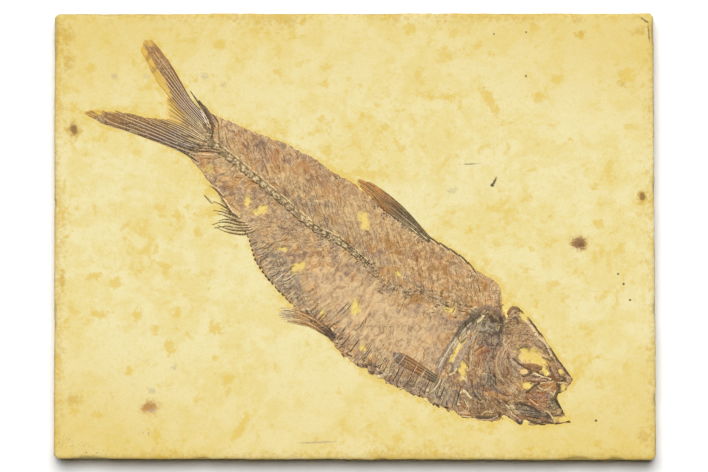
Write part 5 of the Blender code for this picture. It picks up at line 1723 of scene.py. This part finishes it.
def bone_material():
    """Fossil film and bone: its paint, with hair-fine pale and dark lines along the bones."""
    material, shader, nodes = new_material("fossil_bone", 0.62)
    place = nodes.millimetres()
    paint = nodes.attribute("paint", "Color")
    flow = nodes.attribute("flow", "Vector")
    calm = nodes.axes(flow)["Z"]
    ways = nodes.add("ShaderNodeMapping", Vector=flow, Scale=(1, 0.38, 0)).outputs["Vector"]
    lines = nodes.noise(ways, 0.85, 3, 0.6, 1.5)
    threads = nodes.noise(ways, 1.5, 3, 0.6, 1.2)
    grain = nodes.noise(place, 2.4, 5, 0.75, 0.3)
    broad = nodes.noise(place, 0.25, 3, 0.6)
    fine = nodes.noise(place, 5.0, 3, 0.7)
    shown = nodes.math("SUBTRACT", nodes.between(broad, 0.4, 0.6, 0.5, 1), calm)
    dark = nodes.mix(1.0, paint, rgba(BONE_SHADOW), "MULTIPLY")
    pale = nodes.mix(0.8, paint, rgba(CREAM * 1.22))
    layers = (
        (nodes.between(fine, 0.5, 0.36, 0, 0.5), dark),
        (nodes.between(fine, 0.5, 0.64, 0, 0.5), pale),
        (nodes.between(grain, 0.46, 0.36, 0, 0.6), dark),
        (nodes.between(grain, 0.55, 0.65, 0, 0.5), pale),
        (nodes.band(lines, 0.46, 0.03, 0.65), dark),
        (nodes.band(lines, 0.52, 0.03, 0.5), pale),
        (nodes.band(threads, 0.48, 0.035, 0.45), dark),
        (nodes.band(threads, 0.56, 0.03, 0.4), pale),
    )
    color = paint
    for mask, tone in layers:
        color = nodes.mix(nodes.math("MULTIPLY", mask, shown, clamp=True), color, tone)
    nodes.set(shader.inputs["Base Color"], color)
    height = nodes.sum(lines, nodes.product(grain, 0.6))
    nodes.set(shader.inputs["Normal"], nodes.bumps(height, 0.5, 0.0002))
    return material


def freckles(nodes, place, fine):
    """The mask of round spots with uneven outlines, one in each cell at most, of all sizes."""
    wobble = nodes.add("ShaderNodeTexNoise", Vector=place, Scale=0.5, Detail=3.0)
    push = nodes.vector_math("MULTIPLY", wobble.outputs["Color"], (3, 3, 0))["Vector"]
    moved = nodes.vector_math("ADD", place, push)["Vector"]
    cells = nodes.add("ShaderNodeTexVoronoi", Vector=moved, Scale=0.19).outputs
    radius = nodes.between(nodes.channels(cells["Color"])["Red"], 0.35, 1.0, 0.0, 0.3)
    within = nodes.math("SUBTRACT", radius, cells["Distance"])
    return nodes.between(nodes.sum(within, nodes.between(fine, 0.3, 0.7, -0.1, 0.1)), -0.05, 0.12, 0, 0.7)


def limestone_material():
    """Yellow limestone: clouds and feathery spots of deeper yellow, and its marks by their masks."""
    material, shader, nodes = new_material("limestone", 0.85)
    place = nodes.millimetres()
    axes = nodes.axes(place)
    near = nodes.channels(nodes.attribute("paint", "Color"))
    marks = nodes.channels(nodes.attribute("marks", "Color"))
    broad = nodes.noise(place, 0.05, 3, 0.6)
    spots = nodes.noise(place, 0.28, 5, 0.66, 0.3)
    clouds = nodes.noise(place, 0.16, 5, 0.66, 0.4)
    fine = nodes.noise(place, 1.0, 5, 0.7)
    grain = nodes.noise(place, 3.6, 3, 0.7)
    drift = nodes.product(nodes.sum(broad, -0.5), 0.5)
    coarse = nodes.between(fine, 0.3, 0.7, -0.28, 0.28)
    ragged = nodes.sum(coarse, nodes.between(grain, 0.3, 0.7, -0.12, 0.12))
    wander = nodes.sum(ragged, nodes.product(drift, 2.5))
    out_x = nodes.product(nodes.math("ABSOLUTE", axes["X"]), 0.6)
    out_y = nodes.math("ABSOLUTE", axes["Y"])
    specks = nodes.between(nodes.noise(place, 1.8, 4, 0.8), 0.57, 0.63)
    flecked = nodes.between(marks["Green"], 0.2, 0.7, 0, 0.75)
    layers = [
        (nodes.between(nodes.sum(spots, drift), 0.56, 0.7, 0, 0.65), STONE_YELLOW),
        (nodes.between(fine, 0.5, 0.72, 0, 0.4), STONE_YELLOW),
        (nodes.between(fine, 0.48, 0.3, 0, 0.5), STONE_PALE),
        (freckles(nodes, place, fine), STONE_YELLOW),
        (nodes.between(out_y, 20, 52, 0, 0.22), STONE_YELLOW * 0.97),
        (nodes.between(nodes.sum(out_x, out_y), 58, 96, 0, 0.42), STONE_YELLOW * (0.96, 0.96, 0.9)),
        (nodes.between(nodes.sum(marks["Red"], ragged), 0.3, 0.65, 0, 0.75), STONE_YELLOW),
        (nodes.between(nodes.sum(near["Red"], wander), 0.5, 1.05, 0, 0.7), STONE_YELLOW),
        (nodes.between(nodes.sum(near["Blue"], ragged), 0.3, 0.9, 0, 0.6), STONE_OCHRE),
        (nodes.between(nodes.sum(near["Green"], wander), 0.6, 1.25, 0, 0.55), STONE_OCHRE),
        (nodes.between(nodes.sum(marks["Blue"], ragged), 0.4, 0.8, 0, 0.4), ASH),
        (nodes.product(specks, flecked), OLIVE * 0.7),
    ]
    on_face = nodes.between(axes["Z"], TOP - 1.2, TOP - 0.6)
    for middle, half_sizes, turn, tone, strength in SPOTS:
        shape = nodes.sum(nodes.oval(place, middle, half_sizes, turn), ragged)
        layers.append((nodes.product(nodes.between(shape, -0.2, 0.5, 0, strength), on_face), tone))
    clouded = nodes.between(nodes.sum(clouds, drift), 0.4, 0.62)
    color = nodes.mix(clouded, rgba(STONE_PALE), rgba(STONE))
    for mask, tone in layers:
        color = nodes.mix(mask, color, rgba(tone))
    color = nodes.mix(1.0, color, nodes.between(grain, 0.25, 0.75, 0.93, 1.06), "MULTIPLY")
    nodes.set(shader.inputs["Base Color"], color)
    height = nodes.sum(grain, nodes.product(fine, 0.8))
    nodes.set(shader.inputs["Normal"], nodes.bumps(height, 0.35, 0.0001))
    return material


# Marks on the stone, by colour only: middle, half sizes, turn
YELLOW_MARKS = (
    ((-36.2, 11.0), (1.9, 1.4), 30),
    ((-34.6, 6.4), (2.8, 1.7), 25),
    ((34.0, 33.5), (1.3, 6.2), 28),
    ((31.3, 47.6), (1.6, 1.1), 0),
    ((56.4, 50.3), (1.6, 1.1), 0),
    ((68.0, 40.0), (2.4, 2.0), 40),
    ((-65.2, -10.0), (2.2, 1.1), 10),
    ((-47.3, -7.3), (2.2, 1.1), -10),
    ((-53.4, -8.6), (1.3, 0.9), 0),
    ((-54.1, -19.7), (1.6, 1.8), 0),
    ((-49.8, -23.3), (1.4, 1.3), 0),
    ((-63.4, -19.5), (2.6, 1.1), 5),
    ((-46.2, -28.0), (1.6, 2.1), 15),
    ((-34.7, -23.0), (2.1, 1.6), -20),
    ((-64.2, -44.8), (1.6, 1.1), 0),
    ((-49.4, -49.9), (0.9, 2.1), 0),
    ((-28.3, -48.0), (1.2, 4.4), -30),
    ((-31.5, -35.9), (2.2, 1.6), 20),
    ((-56.3, -33.7), (1.4, 1.2), 0),
)
OCHRE_MARKS = (
    ((-72.0, 50.0), (2.4, 3.0), 0),
    ((-71.5, 43.5), (1.6, 3.6), 0),
    ((-70.0, -41.0), (2.2, 1.9), 0),
    ((72.5, -50.0), (2.0, 2.2), 0),
    ((67.0, 38.0), (1.4, 1.2), 0),
    ((71.0, 51.0), (2.0, 1.4), 0),
    ((56.5, 50.5), (1.6, 1.1), 0),
    ((56.0, 54.0), (2.0, 0.9), 0),
    ((-73.0, -11.0), (1.0, 3.2), 0),
    ((72.0, 9.8), (1.3, 1.5), 0),
)
# Where the stone is flecked with dark grains
FLECK_MARKS = (
    ((-72.0, -51.8), (2.8, 2.2), -30),
    ((-67.0, -53.4), (3.6, 1.7), -18),
    ((-62.0, -54.4), (2.0, 1.2), -10),
    ((-52.0, -49.5), (1.2, 0.8), 0),
    ((66.6, 41.0), (1.4, 0.9), -40),
)
GRAY_MARKS = (
    ((24.5, 11.5), (1.2, 1.0), 0),
    ((-60.0, 40.0), (1.0, 1.0), 0),
    ((-37.5, 40.0), (1.0, 0.9), 0),
    ((-32.5, 37.7), (1.0, 0.9), 0),
    ((-52.0, 40.0), (1.0, 0.8), 0),
    ((-50.7, -38.7), (1.2, 0.9), 0),
    ((-45.0, -33.0), (1.1, 0.9), 0),
)
# Single spots, specks and scratches on the stone: middle, half sizes, turn, colour, strength
SPOTS = (
    ((-70.0, 26.5), (2.2, 2.6), 0, STONE_OCHRE, 0.6),
    ((-70.0, 26.6), (1.1, 1.7), 8, BROWN * 1.1, 0.85),
    ((-51.0, -43.0), (2.8, 2.2), 0, ORANGE * 1.3, 0.4),
    ((-51.2, -42.7), (2.0, 1.3), 25, ORANGE * 0.95, 0.8),
    ((-50.6, -43.6), (0.8, 0.5), 0, ASH, 0.7),
    ((56.4, -1.7), (2.6, 2.3), -10, ORANGE * 1.2, 0.5),
    ((56.3, -1.8), (1.9, 1.6), -15, BROWN * 1.15, 0.9),
    ((56.8, -2.3), (0.9, 0.7), -20, BROWN * 0.85, 0.7),
    ((72.0, 9.8), (1.5, 1.7), 0, STONE_OCHRE * 0.9, 0.7),
    ((72.1, 9.8), (0.8, 1.0), 0, BROWN * 1.1, 0.75),
    ((35.1, 13.6), (0.35, 1.3), -28, DARK * 1.2, 0.9),
    ((34.6, 12.7), (0.5, 0.4), 0, DARK, 0.9),
    ((29.0, 18.0), (2.2, 0.22), 3, OLIVE, 0.6),
    ((-9.5, -51.6), (5.5, 0.25), 2, ASH * 0.9, 0.6),
    ((66.0, -9.5), (0.3, 0.3), 0, DARK, 0.9),
    ((67.4, -12.0), (0.3, 0.3), 0, DARK, 0.9),
    ((69.0, -16.0), (0.35, 0.3), 0, DARK, 0.9),
    ((60.5, -46.2), (0.4, 0.35), 0, DARK, 0.9),
    ((43.0, 51.0), (0.35, 0.3), 0, DARK, 0.8),
    ((35.0, 50.5), (0.3, 0.3), 0, DARK, 0.8),
    ((43.0, 40.0), (0.3, 0.3), 0, DARK, 0.8),
    ((72.6, 54.0), (1.7, 0.3), -35, BROWN * 0.8, 0.8),
    ((73.7, 50.6), (0.25, 2.6), 4, BROWN * 0.8, 0.7),
)


def mark_stone(slab):
    """The stone's own marks, as one mask for each colour."""
    mesh = slab.data
    places = np.empty(3 * len(mesh.vertices), np.float32)
    mesh.vertices.foreach_get("co", places)
    x, y, z = places.reshape(-1, 3).T / MM
    on_top = ramp(z, TOP - 1.5, TOP - 0.6)
    masks = np.ones((len(x), 4), np.float32)
    for k, marks in enumerate((YELLOW_MARKS, FLECK_MARKS, GRAY_MARKS)):
        masks[:, k] = blots(x, y, marks) * on_top
    layer = mesh.color_attributes.new("marks", "FLOAT_COLOR", "POINT")
    layer.data.foreach_set("color", masks.ravel())
    paint = mesh.color_attributes["paint"]
    colors = np.empty(4 * len(x), np.float32)
    paint.data.foreach_get("color", colors)
    colors = colors.reshape(-1, 4)
    colors[:, 2] = blots(x, y, OCHRE_MARKS)
    paint.data.foreach_set("color", colors.ravel())


# The camera, the light and the floor


VIEW_WIDTH = 177  # how many millimetres of the slab's upper face the picture is wide


def make_studio():
    """The camera straight above, one broad soft lamp, and a pale floor."""
    scene = bpy.context.scene
    camera = bpy.data.objects.new("Camera", bpy.data.cameras.new("Camera"))
    scene.collection.objects.link(camera)
    camera.data.lens = 600
    camera.data.sensor_width = 36
    camera.data.clip_end = 30
    distance = VIEW_WIDTH * camera.data.lens / camera.data.sensor_width
    camera.location = (0, 0, (TOP + distance) * MM)
    scene.camera = camera
    sun = bpy.data.objects.new("Sun", bpy.data.lights.new("Sun", "SUN"))
    scene.collection.objects.link(sun)
    sun.data.energy = 3.84
    sun.data.angle = math.radians(33)
    sun.rotation_euler = (math.radians(-18.5), math.radians(-1.8), 0)
    world = bpy.data.worlds.new("World")
    scene.world = world
    world.use_nodes = True
    background = world.node_tree.nodes["Background"]
    background.inputs["Color"].default_value = (1, 1, 1, 1)
    background.inputs["Strength"].default_value = 0.02
    scene.view_settings.view_transform = "Standard"
    bpy.ops.mesh.primitive_plane_add(size=12)
    floor = bpy.context.object
    floor.name = "floor"
    material, shader, _ = new_material("floor", 0.9)
    shader.inputs["Base Color"].default_value = (0.88, 0.88, 0.88, 1)
    shader.inputs["Specular IOR Level"].default_value = 0
    floor.data.materials.append(material)


SMALL_FIN_STOPS = (0.15, 0.45, 0.6, 0.9)
# The films of the fins: name, lines, points along a ray, colours at root, middle and tip, and between
# which shares of a ray the first two colours change and then the last two
FIN_FILMS = (
    (
        "back_fin_film",
        BACK_FIN_LINES,
        150,
        (OLIVE * (1.25, 1.15, 0.9), BROWN * (1.2, 1.15, 0.95), ORANGE * (1.2, 1.18, 0.95)),
        (0.45, 0.62, 0.62, 0.78),
    ),
    ("pelvic_fin_film", PELVIC_LINES, 100, (DARK * 1.1, ORANGE * 0.9, CREAM * 0.95), SMALL_FIN_STOPS),
    ("breast_fin_film", BREAST_LINES, 100, (OLIVE * 0.8, BROWN * 0.9, SLATE), SMALL_FIN_STOPS),
)
# Colours of the rays, taken in turn: at root, middle and tip
PELVIC_TONES = (
    (DARK, ORANGE, CREAM),
    (SLATE, RUST, ORANGE),
    (DARK, CREAM, CREAM),
    (BROWN, ORANGE * 1.2, BROWN),
)
BREAST_TONES = (
    (OLIVE, RUST, SLATE),
    (DARK, BROWN, DARK),
    (OLIVE * 0.8, ORANGE, SLATE),
    (ASH, ORANGE * 1.1, SLATE),
)


def make_fish(bone):
    """The films, and then the bones that lie on them."""
    random = np.random.default_rng(20)
    surface = Surface()
    trunk_film(surface, bone)
    head_film(surface, bone)
    tail_film(surface, bone)
    for name, lines, steps, colors, stops in FIN_FILMS:
        fin_film(surface, bone, name, lines, steps, colors, stops)
    backbone_chain(surface, bone)
    trunk = Bones(surface)
    crushed_backbone(trunk, random)
    spines_and_ribs(trunk, random)
    scutes(trunk, random)
    trunk.finish("backbone_and_ribs", bone)
    hairs = Bones(surface)
    fine_bones(hairs, random, 2000)
    hairs.finish("fine_bones", bone)
    head = Bones(surface)
    head_bones(head, random)
    head.finish("head_bones", bone)
    rays = Bones(surface)
    tail_rays(rays, random)
    tail_root(rays)
    back_fin(rays, random)
    anal_fin(rays, random)
    strands(rays, PELVIC_LINES, 15, PELVIC_TONES, 0.28, 0.14, random)
    strands(rays, BREAST_LINES, 14, BREAST_TONES, 0.28, 0.1, random)
    rays.finish("fin_rays", bone)


def fish_rim():
    """Places round the fish's outline."""
    share = np.linspace(0, 1, 160)
    rim = [BACK.at(share), BELLY.at(share), SKULL.at(share), MOUTH.at(share), THROAT.at(share)]
    rim += [tail_at(share, np.full(len(share), 0.96)), TAIL_LINES[0].at(share), TAIL_LINES[-1].at(share)]
    return np.vstack(rim)


def main():
    """The fish, the stone it lies in, and the studio."""
    make_fish(bone_material())
    mark_stone(make_slab(limestone_material()))
    make_studio()


main()
